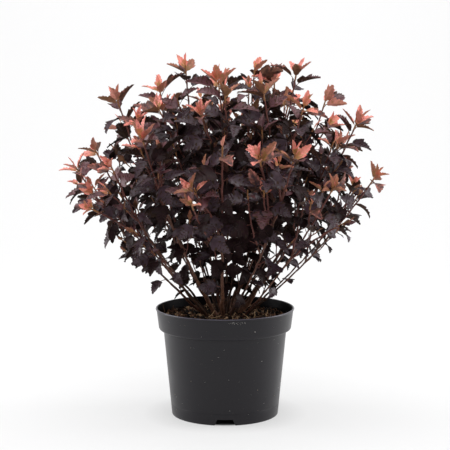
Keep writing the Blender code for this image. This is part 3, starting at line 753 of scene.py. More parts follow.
class Foliage:
    """Leaves dealt out along every shoot, gathered by kind."""

    def __init__(self, looks):
        self.looks = looks
        self.blades = blades()
        self.stalks = Gathered()
        self.young_stalks = Gathered()
        self.young = Gathered()

    def inside(self, points, leaning=True):
        """Whether a leaf keeps to the crown: within its box, above the rim and not too low on its side."""
        low = np.array(SOLID_BOX[0]) - LEAF_TIP_ROOM
        high = np.array(SOLID_BOX[1]) + LEAF_TIP_ROOM
        low[2] = LOWEST_LEAF
        if (points < low).any() or (points > high).any():
            return False
        offset = points - np.array(FAN_POINT)
        reach = np.linalg.norm(offset, axis=1)
        limit = HANGING_LEAF_LEAN - LEFT_DROOP * offset[:, 0] / reach
        return not leaning or bool((offset[:, 2] >= np.cos(limit) * reach).all())

    def add_stalk(self, group, path, radius):
        points = tube_points(path, lambda ring, angle: radius * (1.15 - 0.1 * ring), STALK_SIDES)
        group.add(points, tube_pattern(STALK_RINGS, STALK_SIDES))

    def grown_tone(self, below, bright, outness, chance):
        """Finish of a grown leaf by its distance below the tip and its share of the way to the shell; leaves further in
        take the darker finish, painted shade, more often.
        """
        dice = chance.random()
        if bright and below < BLUSHING_STRETCH:
            return BLUSH if dice < 0.5 else BRONZE
        if bright and below < BRONZE_STRETCH:
            return BRONZE if dice < 0.45 else PURPLE
        if outness > OUTER_CROWN:
            return PURPLE if dice < 0.8 else SHADED
        if outness > INNER_CROWN:
            return PURPLE if dice < 0.3 else SHADED
        return SHADED

    def add_grown(self, group, shoot, below, turn, bright, chance):
        """A grown leaf: it stands up below a tip, and hangs with its face outwards further down."""
        place = shoot.top - below / shoot.length
        near_tip = max(0.0, 1.0 - below / TIP_STRETCH)
        root = curve_point(shoot.curve, place)
        ahead = curve_direction(shoot.curve, place)
        aside = aside_from(ahead, turn)
        outness = max(share_of_shell(root), lean_of(root) / FLANK_LEAN)
        opening = math.radians(72 - 26 * near_tip + chance.uniform(-9, 9))
        stalk_opening = 0.75 * opening
        stalk_direction = ahead * math.cos(stalk_opening) + aside * math.sin(stalk_opening)
        spread = ahead * math.cos(opening) + aside * math.sin(opening)
        hang = chance.uniform(0.35, 1.20) * (1.0 - near_tip) * (1.0 - 0.7 * max(0.0, aside.z))
        outward = Vector((root.x, root.y, 0.0)).normalized()
        light = UP * chance.uniform(0.35, 0.95) + outward * chance.uniform(0.6, 1.3)
        tipward = ahead * math.sin(opening) - aside * math.cos(opening)
        facing = light.lerp(1.4 * tipward, 0.6 * near_tip)
        roll = chance.gauss(0.0, 0.36 + 0.22 * near_tip)
        size = chance.uniform(0.80, 1.06) * (1.0 + 0.12 * near_tip) * LEAF_SIZES[shoot.rank]
        low = eased(root.z, SMALL_BELOW, SMALL_RANGE)
        size *= 1.0 - (1.0 - LOW_LEAF_SIZE) * low
        if share_of_shell(root) < INNER_CROWN:
            size *= INNER_LEAF_SIZE
        stalk = LEAF_STALK * size * chance.uniform(0.8, 1.2)
        kind = "narrow" if chance.random() < 0.22 + 0.25 * near_tip else "broad"
        width = chance.uniform(0.88, 1.04) * (1.0 + 0.08 * low)
        fold = math.radians(chance.uniform(*LEAF_FOLDS) * (1.0 - 0.45 * low) + 10 * near_tip)
        arch = chance.uniform(0.25, 0.95) - 0.15 * near_tip
        twist = chance.gauss(0.0, 0.16)
        wave = (chance.uniform(0.03, 0.12), chance.uniform(0.0, FULL_TURN))
        finish = self.grown_tone(below, bright, outness, chance)
        free = near_tip > 0.0 and shoot.rank in ("leader", "side")
        for lift in LIFTS:
            along = (spread - UP * (hang * lift)).normalized()
            normal = (facing - along * facing.dot(along)).normalized()
            normal = Quaternion(along, roll) @ normal
            path = stalk_path(root, stalk_direction, along, stalk)
            length = self.looks.leaf_length * size * (0.75 + 0.25 * lift)
            points = self.blades[kind].posed(path[-1], along, normal, length, width, fold, arch, twist, wave)
            if self.inside(points, leaning=not free):
                group.add(points, self.blades[kind].pattern, finish * TONES)
                self.add_stalk(self.stalks, path, LEAF_STALK_RADIUS)
                return

    def add_rosette(self, group, shoot, turn, bright, chance):
        """Young leaves round a tip: small upright ones inside, longer spreading ones outside."""
        leaves = ROSETTE_LEAVES[shoot.rank]
        low = eased(curve_point(shoot.curve, 1.0).z, SMALL_ROSETTE_BELOW, SMALL_ROSETTE_RANGE)
        scale = ROSETTE_SCALES[shoot.rank] * chance.uniform(0.88, 1.10) * (1.0 - (1.0 - LOW_ROSETTE_SIZE) * low)
        hue = SALMON if chance.random() < 0.55 else PINK
        for k in range(leaves):
            age = k / (leaves - 1)
            place = shoot.top - 0.0020 * k / shoot.length
            root = curve_point(shoot.curve, place)
            ahead = curve_direction(shoot.curve, place)
            opening = math.radians(7 + 55 * age ** 0.85 + chance.uniform(-6, 6))
            aside = aside_from(ahead, turn + LEAF_TURN * k + chance.uniform(-0.2, 0.2))
            along = ahead * math.cos(opening) + aside * math.sin(opening)
            normal = ahead * math.sin(opening) - aside * math.cos(opening)
            normal = Quaternion(along, chance.gauss(0.0, 0.34)) @ normal
            length = self.looks.young_leaf_length * scale * (0.64 + 0.36 * age ** 0.8) * chance.uniform(0.92, 1.10)
            path = stalk_path(root, along, along, 0.05 * length + 0.003 * age)
            kind = "bud" if age < 0.2 else "young"
            points = self.blades[kind].posed(
                path[-1], along, normal, length, chance.uniform(0.92, 1.12), math.radians(chance.uniform(16, 34)),
                chance.uniform(-0.30, 0.40), chance.gauss(0.0, 0.2), (0.10, chance.uniform(0.0, FULL_TURN)),
            )
            pink = bright or (shoot.rank == "side" and chance.random() < 0.2)
            finish = hue if pink and (k < leaves - 3 or chance.random() < 0.6) else AMBER
            if not self.inside(points, leaning=False):
                continue
            if pink or (k < 2 and shoot.rank != "spur"):
                self.young.add(points, self.blades[kind].pattern, finish * TONES)
                self.add_stalk(self.young_stalks, path, YOUNG_STALK_RADIUS)
            else:
                # Young leaves on spurs, low inside the crown, take the painted-shade finish.
                group.add(points, self.blades[kind].pattern, (SHADED if shoot.rank == "spur" else BRONZE) * TONES)
                self.add_stalk(self.stalks, path, YOUNG_STALK_RADIUS)

    def dress(self, cane, group):
        """Leaves up every shoot of a cane, with a rosette on each tip."""
        chance = random.Random(f"{LEAF_SEED} {cane.number}")
        for shoot in cane.shoots:
            rank = shoot.rank
            spacing = self.looks.leaf_spacing * SPACINGS[rank]
            tip = curve_point(shoot.curve, shoot.top)
            bright = rank in ("leader", "side") and share_of_shell(tip) > BRIGHT_SHARE and tip.z > LOWEST_BRIGHT_TIP
            turn = chance.uniform(0.0, FULL_TURN)
            below = TIP_CLEARANCE + 0.002 * ROSETTE_LEAVES[rank] + chance.uniform(0.0, 0.003)
            lowest = shoot.length * (shoot.top - shoot.start) - FIRST_LEAF[rank]
            while below < lowest:
                self.add_grown(group, shoot, below, turn, bright, chance)
                root = curve_point(shoot.curve, shoot.top - below / shoot.length)
                low = LOW_THINNING * eased(root.z, THIN_BELOW, THIN_RANGE)
                inner = INNER_THINNING if share_of_shell(root) < INNER_CROWN else 0.0
                flank = FLANK_THINNING if sagged_lean(root) > THIN_FLANK_LEAN else 0.0
                crowding = TIP_CROWDING if below < CROWDED_TIP else 1.0
                below += crowding * spacing * (1.0 + max(low, inner, flank)) * chance.uniform(0.8, 1.2)
                turn += LEAF_TURN + chance.uniform(-0.3, 0.3)
            self.add_rosette(group, shoot, turn, bright, chance)


# Finishes

class Wire:
    """A shader socket that takes part in arithmetic; each operation adds its Math node."""

    def __init__(self, finish, socket):
        self.finish = finish
        self.socket = socket

    def math(self, operation, *values):
        return self.finish.node("ShaderNodeMath", {"operation": operation}, dict(enumerate(values)))

    def __add__(self, other):
        return self.math("ADD", self, other)

    __radd__ = __add__

    def __sub__(self, other):
        return self.math("SUBTRACT", self, other)

    def __rsub__(self, other):
        return self.math("SUBTRACT", other, self)

    def __mul__(self, other):
        return self.math("MULTIPLY", self, other)

    __rmul__ = __mul__

    def __truediv__(self, other):
        return self.math("DIVIDE", self, other)

    def __gt__(self, other):
        return self.math("GREATER_THAN", self, other)


class Nodes:
    """A node tree whose nodes are made by one method."""

    def __init__(self, tree):
        self.tree = tree

    def node(self, kind, settings, values, output=0):
        made = self.tree.nodes.new(kind)
        for setting, value in settings.items():
            if setting == "stops":
                for k, (position, colour) in enumerate(value):
                    stops = made.color_ramp.elements
                    stop = stops[k] if k < 2 else stops.new(position)
                    stop.position = position
                    stop.color = (*colour, 1.0)
            else:
                setattr(made, setting, value)
        for socket, value in values.items():
            self.feed(made.inputs[socket], value)
        return Wire(self, made.outputs[output])

    def feed(self, socket, value):
        if isinstance(value, Wire):
            self.tree.links.new(value.socket, socket)
        elif isinstance(value, (tuple, list)) and len(value) == 3 and socket.type == "RGBA":
            socket.default_value = (*value, 1.0)
        else:
            socket.default_value = value


class Finish(Nodes):
    """A procedural material built from one Principled shader."""

    def __init__(self, name, **constants):
        self.material = bpy.data.materials.new(name)
        self.material.use_nodes = True
        super().__init__(self.material.node_tree)
        self.shader = self.tree.nodes["Principled BSDF"]
        for socket, value in constants.items():
            self.set(socket.replace("_", " "), value)
        self.place = self.node("ShaderNodeTexCoord", {}, {}, output="Object")

    def set(self, socket, value):
        if isinstance(value, (tuple, list)) or hasattr(value, "r"):
            value = tuple(value)
        self.feed(self.shader.inputs[socket], value)

    def noise(self, scale, detail=3.0, roughness=0.55, place=None):
        values = {"Vector": place or self.place, "Scale": scale, "Detail": detail, "Roughness": roughness}
        return self.node("ShaderNodeTexNoise", {}, values)

    def mix(self, share, first, second, blend="MIX"):
        settings = {"data_type": "RGBA", "blend_type": blend, "clamp_factor": True}
        return self.node("ShaderNodeMix", settings, {0: share, 6: first, 7: second}, output=2)

    def between(self, value, low, high):
        """The value's share of the way from low to high, kept between 0 and 1."""
        return self.node("ShaderNodeMapRange", {"clamp": True}, {"Value": value, "From Min": low, "From Max": high})

    def stretched(self, scale):
        return self.node("ShaderNodeMapping", {}, {"Vector": self.place, "Scale": scale})

    def bump(self, height, distance, strength=1.0):
        values = {"Height": height, "Distance": distance, "Strength": strength}
        self.set("Normal", self.node("ShaderNodeBump", {}, values))


def tinted(colour, factor, tint=(1.0, 1.0, 1.0)):
    return tuple(factor * part * tone for part, tone in zip(colour, tint))


def leaf_finish(name, colour, mottle, roughness, blotches=140.0, gloss=0.22):
    """A leaf's surface: mottled colour, soft gloss and fine veined relief."""
    finish = Finish(name, Specular_IOR_Level=gloss)
    blotch = finish.between(finish.noise(blotches, 2.0), 0.40, 0.62)
    grain = finish.noise(420.0, 3.0)
    finish.set("Base Color", finish.mix(blotch, tuple(colour), tuple(mottle)))
    finish.set("Roughness", roughness + 0.14 * (grain - 0.5))
    finish.bump(grain, 0.00025, 0.5)
    return finish.material


def plastic_finish(colour, name, gloss):
    finish = Finish(name, Specular_IOR_Level=gloss)
    cloud = finish.between(finish.noise(26.0, 4.0), 0.3, 0.75)
    grain = finish.noise(1400.0, 2.0)
    dust = finish.between(finish.noise(520.0, 2.0), 0.70, 0.76)
    base = finish.mix(cloud, tuple(colour), tinted(colour, 1.22))
    finish.set("Base Color", finish.mix(dust * 0.22, base, (0.20, 0.17, 0.14)))
    finish.set("Roughness", 0.37 + 0.12 * (cloud - 0.5) + 0.1 * (grain - 0.5))
    finish.bump(grain, 0.00006, 0.6)
    return finish.material


def bark_finish(name, colour, dark_share, roughness):
    finish = Finish(name, Specular_IOR_Level=0.20)
    streak = finish.between(finish.noise(90.0, 4.0, place=finish.stretched((5.0, 5.0, 1.0))), 0.35, 0.68)
    fleck = finish.between(finish.noise(700.0, 2.0), 0.60, 0.72)
    base = finish.mix(streak, tinted(colour, dark_share), tuple(colour))
    finish.set("Base Color", finish.mix(fleck * 0.5, base, tinted(colour, 2.2, (1.0, 1.05, 1.1))))
    finish.set("Roughness", roughness + 0.15 * (streak - 0.5))
    finish.bump(streak, 0.0003, 0.6)
    return finish.material


def crumb_finish(name, colour, lift):
    finish = Finish(name, Specular_IOR_Level=0.12)
    patch = finish.between(finish.noise(520.0, 4.0), 0.35, 0.7)
    finish.set("Base Color", finish.mix(patch, tuple(colour), tinted(colour, lift)))
    finish.set("Roughness", 0.86 + 0.12 * (patch - 0.5))
    finish.bump(patch, 0.0006, 0.8)
    return finish.material


def stage_finish(colour, glow):
    """A pale floor with painted light: it glows, and the glow is cut away under the pot and dimmed close round its foot
    as a painted shadow.
    """
    finish = Finish("stage_pale_floor", Specular_IOR_Level=0.1, Roughness=0.8, Emission_Strength=glow)
    from_middle = finish.node("ShaderNodeVectorMath", {"operation": "LENGTH"}, {0: finish.place}, output=1)
    # Painted shadow: no glow under the pot's foot, and a little less glow just round it.
    clear = finish.between(from_middle, BASE_RADIUS - 0.008, BASE_RADIUS)
    away = finish.between(from_middle, BASE_RADIUS, BASE_RADIUS + 0.05)
    finish.set("Emission Color", finish.mix(clear * (0.84 + 0.16 * away), (0.0, 0.0, 0.0), (1.0, 1.0, 1.0)))
    finish.set("Base Color", tuple(colour))
    return finish.material


# Pot

def pot_profile():
    """Radius and height round the pot's section, from the underside's middle round to the floor's."""
    step = POT_HEIGHT - BAND_HEIGHT
    lip = POT_HEIGHT - LIP_HEIGHT
    ring_inner = BASE_RADIUS - FOOT_RING_WIDTH
    slope = (BODY_TOP_RADIUS - BASE_RADIUS) / step

    def wall(height):
        return BASE_RADIUS + slope * height

    profile = [(0.0, 0.0004), (CENTRE_PAD_RADIUS - 0.001, 0.0004), (CENTRE_PAD_RADIUS, 0.0012)]
    profile += [(CENTRE_PAD_RADIUS + 0.0006, UNDERSIDE_RECESS - 0.0006), (CENTRE_PAD_RADIUS + 0.0014, UNDERSIDE_RECESS)]
    profile += [(ring_inner - 0.0012, UNDERSIDE_RECESS), (ring_inner, UNDERSIDE_RECESS - 0.001), (ring_inner + 0.0002, 0.0006)]
    profile += [(ring_inner + 0.0008, 0.0), (BASE_RADIUS - 0.0012, 0.0), (BASE_RADIUS - 0.0003, 0.0004), (wall(0.0012), 0.0012)]
    profile += [(wall(CREASE_HEIGHT - 0.0008), CREASE_HEIGHT - 0.0008), (wall(CREASE_HEIGHT) - 0.00022, CREASE_HEIGHT)]
    profile += [(wall(CREASE_HEIGHT + 0.0008), CREASE_HEIGHT + 0.0008)]
    for k in range(1, 6):
        height = CREASE_HEIGHT + (step - 0.004 - CREASE_HEIGHT) * k / 6
        profile.append((wall(height), height))
    profile += [(wall(step - 0.0030), step - 0.0030), (wall(step - 0.0012) + 0.0002, step - 0.0012)]
    profile += [(BODY_TOP_RADIUS + 0.0014, step - 0.0001), (BAND_FOOT_RADIUS - BAND_ROUNDING - 0.001, step)]
    for k in range(6):
        angle = math.radians(-90 + 90 * k / 5)
        centre = (BAND_FOOT_RADIUS - BAND_ROUNDING, step + BAND_ROUNDING + 0.0001)
        profile.append((centre[0] + BAND_ROUNDING * math.cos(angle), centre[1] + BAND_ROUNDING * math.sin(angle)))
    for k in range(1, 5):
        share = k / 5
        profile.append((
            BAND_FOOT_RADIUS + (RIM_RADIUS - LIP_OVERHANG - BAND_FOOT_RADIUS) * share,
            step + BAND_ROUNDING + (lip - step - BAND_ROUNDING) * share,
        ))
    profile += [(RIM_RADIUS - LIP_OVERHANG, lip - 0.0003), (RIM_RADIUS - 0.5 * LIP_OVERHANG, lip + 0.0002)]
    middle = lip + 0.5 * LIP_HEIGHT
    for k in range(9):
        angle = math.radians(-50 + 170 * k / 8)
        profile.append((RIM_RADIUS - 0.0015 + 0.0015 * math.cos(angle), middle + 0.5 * LIP_HEIGHT * math.sin(angle)))
    inside = RIM_RADIUS - LIP_OVERHANG - POT_WALL
    profile += [(inside, POT_HEIGHT - 0.0012), (BAND_FOOT_RADIUS - POT_WALL, step + BAND_ROUNDING + POT_WALL)]
    profile += [(BODY_TOP_RADIUS - POT_WALL, step + POT_WALL)]
    profile += [(wall(POT_FLOOR) - POT_WALL, POT_FLOOR), (0.0, POT_FLOOR)]
    return profile


# The lip's painted highlight starts this many rings before the profile's end.
LIP_RINGS = 11
# The inside's painted shade starts this many rings before the profile's end.
INSIDE_RINGS = 6


def turned_piece(name, profile, sides, finishes, starts):
    """A closed turned piece; each of the rings in starts is the first with the next finish."""
    points = [(0.0, 0.0, profile[0][1])]
    for radius, height in profile[1:-1]:
        for k in range(sides):
            angle = 2.0 * math.pi * k / sides
            points.append((radius * math.cos(angle), radius * math.sin(angle), height))
    points.append((0.0, 0.0, profile[-1][1]))
    rings = len(profile) - 2
    faces, bands = [], []
    for k in range(sides):
        after = (k + 1) % sides
        faces.append((0, 1 + after, 1 + k))
        for ring in range(rings - 1):
            low = 1 + ring * sides
            faces.append((low + k, low + after, low + sides + after, low + sides + k))
        top = 1 + (rings - 1) * sides
        faces.append((top + k, top + after, len(points) - 1))
        bands += [sum(ring >= start for start in starts) for ring in range(rings + 1)]
    whole = Gathered()
    whole.add(points, Pattern(faces, bands))
    return whole.make(name, finishes, math.radians(40))


def carve(target, cutters):
    """Cut the openings out of a piece for good."""
    for cutter in cutters:
        tool = target.modifiers.new("carve", "BOOLEAN")
        tool.operation = "DIFFERENCE"
        tool.solver = "EXACT"
        tool.object = cutter
    graph = bpy.context.evaluated_depsgraph_get()
    carved = bpy.data.meshes.new_from_object(target.evaluated_get(graph))
    target.modifiers.clear()
    target.data = carved
    for cutter in cutters:
        bpy.data.objects.remove(cutter, do_unlink=True)
    target.data.set_sharp_from_angle(angle=math.radians(30))


def notch_cutter(bearing):
    turn = Quaternion(UP, bearing)
    points = []
    for reach in (BASE_RADIUS - FOOT_RING_WIDTH - 0.004, BASE_RADIUS + 0.006):
        for half, height in ((0.5 * NOTCH_FOOT_WIDTH + 0.001, -0.002), (0.5 * NOTCH_TOP_WIDTH, NOTCH_HEIGHT)):
            for side in (-1, 1):
                points.append(turn @ Vector((reach, side * half, height)))
    faces = [(0, 1, 5, 4), (2, 6, 7, 3), (0, 4, 6, 2), (1, 3, 7, 5), (0, 2, 3, 1), (4, 5, 7, 6)]
    cutter = Gathered()
    cutter.add([tuple(point) for point in points], Pattern(faces, [0] * 6))
    return cutter.make("notch_cutter", [])


def drain_cutter(bearing):
    centre = Quaternion(UP, bearing) @ Vector((DRAIN_CIRCLE_RADIUS, 0.0, 0.0))
    path = [centre + UP * 0.002, centre + UP * 0.020]
    cutter = Gathered()
    cutter.add(tube_points(path, lambda ring, angle: DRAIN_HOLE_RADIUS, 24), tube_pattern(2, 24))
    return cutter.make("drain_cutter", [])


def outer_radius(height):
    """Radius of the pot's outside at a height."""
    step = POT_HEIGHT - BAND_HEIGHT
    if height < step:
        return BASE_RADIUS + (BODY_TOP_RADIUS - BASE_RADIUS) * height / step
    return BAND_FOOT_RADIUS + (RIM_RADIUS - LIP_OVERHANG - BAND_FOOT_RADIUS) * (height - step) / BAND_HEIGHT


def crumb(chance, centre, size, flatness=0.45):
    """An irregular eight-cornered bit of bark."""
    turn = Quaternion((chance.gauss(0, 1), chance.gauss(0, 1), chance.gauss(0, 1), chance.gauss(0, 1))).normalized()
    long = size * chance.uniform(0.9, 1.8)
    points = []
    for x in (-1, 1):
        for y in (-1, 1):
            for z in (-1, 1):
                corner = Vector((x * long, y * size, z * size * flatness)) * chance.uniform(0.28, 0.58)
                points.append(tuple(Vector(centre) + turn @ corner))
    return points


CRUMB_FACES = ((0, 1, 3, 2), (4, 6, 7, 5), (0, 4, 5, 1), (2, 3, 7, 6), (0, 2, 6, 4), (1, 5, 7, 3))
CRUMB_PATTERN = Pattern(CRUMB_FACES, [0] * 6)


class BuildPot(bpy.types.Operator):
    """Turn the nursery pot, cut its notches and drain holes, and dust it"""

    bl_idname = "ninebark.build_pot"
    bl_label = "Build the pot"

    def execute(self, context):
        looks = context.scene.ninebark_pot
        finishes = [
            plastic_finish(looks.colour, "pot_charcoal_plastic", 0.34),
            # Painted highlight: the lip's top rings take a paler, bluer plastic, where the overhead light catches the
            # lip.
            plastic_finish(tinted(looks.colour, 14.9, (1.0, 1.14, 0.93)), "pot_lip_painted_highlight", 0.5),
            # Painted shade: the pot's inside wall and floor take a darker, duller plastic, as shaded by the crown.
            plastic_finish(tinted(looks.colour, 0.55), "pot_inside_painted_shade", 0.06),
        ]
        profile = pot_profile()
        starts = [len(profile) - count for count in (LIP_RINGS, INSIDE_RINGS)]
        pot = turned_piece("nursery_pot", profile, looks.sides, finishes, starts)
        front = math.radians(270)
        cutters = [notch_cutter(front + 2.0 * math.pi * k / NOTCH_COUNT) for k in range(NOTCH_COUNT)]
        cutters += [drain_cutter(2.0 * math.pi * (k + 0.5) / DRAIN_HOLES) for k in range(DRAIN_HOLES)]
        carve(pot, cutters)
        settle(pot, "pot_plastic", "pot")
        chance = random.Random("dust on the pot")
        dust = Gathered()
        for k in range(looks.specks):
            height = chance.uniform(0.004, POT_HEIGHT - 0.006)
            if -0.004 < height - (POT_HEIGHT - BAND_HEIGHT) < 1.5 * BAND_ROUNDING:
                continue
            angle = chance.uniform(0.0, 2.0 * math.pi)
            radius = outer_radius(height)
            centre = (radius * math.cos(angle), radius * math.sin(angle), height)
            dust.add(crumb(chance, centre, chance.uniform(0.0004, 0.0010)), CRUMB_PATTERN, chance.randrange(2))
        for k in range(looks.smear):
            x, height = chance.uniform(0.004, 0.033), 0.1724 + chance.gauss(0.0, 0.0009)
            centre = (x, -math.sqrt(outer_radius(height) ** 2 - x * x), height)
            dust.add(crumb(chance, centre, chance.uniform(0.0004, 0.0012), 0.2), CRUMB_PATTERN, 1)
        tan = crumb_finish("dust_tan", (0.38, 0.30, 0.22), 0.7)
        pale = crumb_finish("dust_pale", (0.62, 0.60, 0.56), 0.8)
        settle(dust.make("pot_dust", [tan, pale]), "pot_plastic")
        return {"FINISHED"}


def soil_height(x, y):
    radius = math.hypot(x, y)
    slope = max(0.0, (radius - SOIL_FLAT_RADIUS) / (RIM_RADIUS - SOIL_FLAT_RADIUS))
    lumps = noise.fractal(Vector((x * 60.0, y * 60.0, 1.7)), 0.8, 2.1, 4)
    return SOIL_TOP - 0.0020 - SOIL_EDGE_DROP * slope + 0.0016 * lumps


class FillSoil(bpy.types.Operator):
    """Fill the pot with lumpy potting mix, loose chips, grit and dry straws"""

    bl_idname = "ninebark.fill_soil"
    bl_label = "Fill with potting mix"

    def execute(self, context):
        looks = context.scene.ninebark_soil
        chance = random.Random("potting mix")
        edge = RIM_RADIUS - LIP_OVERHANG - POT_WALL - 0.0035
        rings, sides = 46, 150
        points = [(0.0, 0.0, POT_FLOOR + GAP)]
        step = POT_HEIGHT - BAND_HEIGHT
        wall = [(outer_radius(POT_FLOOR), POT_FLOOR + GAP), (BODY_TOP_RADIUS, step + POT_WALL)]
        wall += [(BAND_FOOT_RADIUS, step + BAND_ROUNDING + POT_WALL)]
        for radius, height in wall:
            radius -= POT_WALL + 0.0009
            for k in range(sides):
                angle = 2.0 * math.pi * k / sides
                points.append((radius * math.cos(angle), radius * math.sin(angle), height))
        for ring in range(rings):
            radius = edge * (1.0 - ring / rings)
            for k in range(sides):
                angle = 2.0 * math.pi * k / sides
                x, y = radius * math.cos(angle), radius * math.sin(angle)
                points.append((x, y, soil_height(x, y)))
        points.append((0.0, 0.0, soil_height(0.0, 0.0)))
        faces = []
        for k in range(sides):
            after = (k + 1) % sides
            faces.append((0, 1 + after, 1 + k))
            total = rings + len(wall)
            for ring in range(total - 1):
                low = 1 + ring * sides
                faces.append((low + k, low + after, low + sides + after, low + sides + k))
            last = 1 + (total - 1) * sides
            faces.append((last + k, last + after, len(points) - 1))
        body = Gathered()
        body.add(points, Pattern(faces, [0] * len(faces)))
        soil = body.make("potting_mix", [crumb_finish("mix_dark", looks.colour, 2.6)], math.radians(60))
        settle(soil, "potting_mix", "soil")

        chips = Gathered()
        for k in range(looks.chips + looks.grit):
            radius = (edge - 0.003) * math.sqrt(chance.random())
            angle = chance.uniform(0.0, 2.0 * math.pi)
            x, y = radius * math.cos(angle), radius * math.sin(angle)
            pale = k >= looks.chips
            size = chance.uniform(0.0009, 0.0023) if pale else 0.0014 + 0.0050 * chance.random() ** 2.4
            centre = (x, y, soil_height(x, y) + size * chance.uniform(0.0, 0.35))
            tone = 4 if pale else min(3, int(4 * chance.random() ** 1.5))
            chips.add(crumb(chance, centre, size), CRUMB_PATTERN, tone)
        tones = [
            crumb_finish("chip_black", (0.0065, 0.0048, 0.004), 1.8),
            crumb_finish("chip_brown", (0.050, 0.026, 0.015), 1.7),
            crumb_finish("chip_russet", (0.140, 0.071, 0.041), 1.5),
            crumb_finish("chip_tan", (0.380, 0.243, 0.146), 1.4),
            crumb_finish("grit_pale", (0.84, 0.72, 0.52), 0.75),
        ]
        settle(chips.make("mix_chips", tones), "potting_mix")

        straws = Gathered()
        for k in range(looks.straws):
            radius = (edge - 0.012) * math.sqrt(chance.random())
            angle = chance.uniform(0.0, 2.0 * math.pi)
            middle = Vector((radius * math.cos(angle), radius * math.sin(angle), 0.0))
            turn = chance.uniform(0.0, math.pi)
            half = chance.uniform(0.006, 0.021)
            lift = chance.uniform(0.0, 0.5) ** 2
            thick = chance.uniform(0.0003, 0.0009)
            path = []
            for step in range(6):
                walk = half * (step / 2.5 - 1.0)
                point = middle + Vector((math.cos(turn), math.sin(turn), 0.0)) * walk
                turn += chance.uniform(-0.14, 0.14)
                reach = math.hypot(point.x, point.y)
                if reach > edge - 0.003:
                    point *= (edge - 0.003) / reach
                point.z = soil_height(point.x, point.y) + thick + (walk + half) * lift
                path.append(point)
            points = tube_points(path, lambda ring, angle: thick, 5)
            straws.add(points, tube_pattern(6, 5), min(2, int(3 * chance.random())))
        for x, y, tall, lean, tone in STANDING_TWIGS:
            base = Vector((x, y, soil_height(x, y) - 0.002))
            path = [base + Vector((lean * share, 0.3 * lean * share, tall * share)) for share in (0, 0.3, 0.6, 0.85, 1)]
            path[2].x += 0.0012
            straws.add(tube_points(path, lambda ring, angle: 0.0010 - 0.00012 * ring, 5), tube_pattern(5, 5), tone)
        straw_tones = [
            bark_finish("straw_tan", (0.54, 0.35, 0.20), 0.6, 0.8),
            bark_finish("straw_brown", (0.13, 0.070, 0.040), 0.5, 0.8),
            bark_finish("straw_dark", (0.050, 0.026, 0.018), 0.5, 0.8),
        ]
        settle(straws.make("dry_straws", straw_tones, math.radians(50)), "potting_mix")
        return {"FINISHED"}


STANDING_TWIGS = (
    (-0.099, -0.016, 0.024, -0.003, 1),
    (-0.088, 0.012, 0.018, 0.002, 1),
    (0.079, 0.020, 0.012, -0.004, 1),
    (-0.070, -0.050, 0.010, 0.006, 2),
    (-0.0285, -0.027, 0.0125, 0.0122, 0),
    (0.0417, -0.040, 0.0117, -0.0129, 0),
    (0.0472, -0.038, 0.0145, 0.0010, 0),
    (-0.003, 0.000, 0.028, 0.010, 1),
    (0.066, -0.010, 0.0130, 0.0050, 0),
)


def settle(piece, slot, *nodes):
    """Fix a piece to the plant's body, and let it stand for its solids."""
    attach(piece, BODY)
    if nodes:
        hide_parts(*nodes)


BARK_SIDES = 14
BARK_STEP = 0.0024
NODE_SPACING = 0.019
BARK_WAVE = 0.0065


class GrowCanes(bpy.types.Operator):
    """Grow the bare canes with ridged bark and swollen joints"""

    bl_idname = "ninebark.grow_canes"
    bl_label = "Grow the canes"

    def execute(self, context):
        bark = Gathered()
        for cane in grown_canes():
            rings = int(cane.joint * cane.length / BARK_STEP) + 2
            shares = [cane.joint * k / (rings - 1) for k in range(rings)]
            path = [curve_point(cane.leader, share) for share in shares]
            path[0] = path[0] - curve_direction(cane.leader, 0.0) * 0.0035
            for k, share in enumerate(shares):
                walked = share * cane.length
                calm = math.sin(math.pi * k / (rings - 1))
                bend = Vector((0.0, 3.7 * cane.number, 30.0 * walked))
                path[k] += BARK_WAVE * calm * Vector((noise.noise(bend), noise.noise(bend * 1.3 + UP), 0.0))

            def radius_at(ring, angle, cane=cane, shares=shares):
                walked = shares[ring] * cane.length
                share = shares[ring] / cane.joint
                plain = cane.foot_radius + (cane.joint_radius - cane.foot_radius) * share
                flare = 1.0 + (FLARE - 1.0) * max(0.0, 1.0 - walked / FLARE_LENGTH) ** 2
                swelling = 0.10 * math.exp(-(((walked + 0.009) % NODE_SPACING - 0.009) / 0.0022) ** 2)
                spot = Vector((1.4 * math.cos(angle), 1.4 * math.sin(angle), 34.0 * walked + 9.0 * cane.number))
                ridges = 0.085 * noise.noise(spot * 1.6) + 0.05 * noise.noise(spot * 4.0)
                return plain * (flare + swelling + ridges)

            tone = 0 if cane.thick else 1 + cane.number % 2
            bark.add(tube_points(path, radius_at, BARK_SIDES), tube_pattern(rings, BARK_SIDES), tone)
        colour = context.scene.ninebark_shrub.bark_colour
        finishes = [
            bark_finish("cane_bark", colour, 0.34, 0.66),
            bark_finish("cane_bark_red", tinted(colour, 0.62, (1.0, 0.80, 0.82)), 0.34, 0.60),
            bark_finish("cane_bark_dark", tinted(colour, 0.40), 0.34, 0.66),
        ]
        piece = bark.make("cane_bark", finishes, math.radians(60))
        settle(piece, "cane_bark", *[f"cane_{k + 1:02d}" for k in range(len(CANES))])
        return {"FINISHED"}


SHOOT_SIDES = 7
SHOOT_STEP = 0.0055


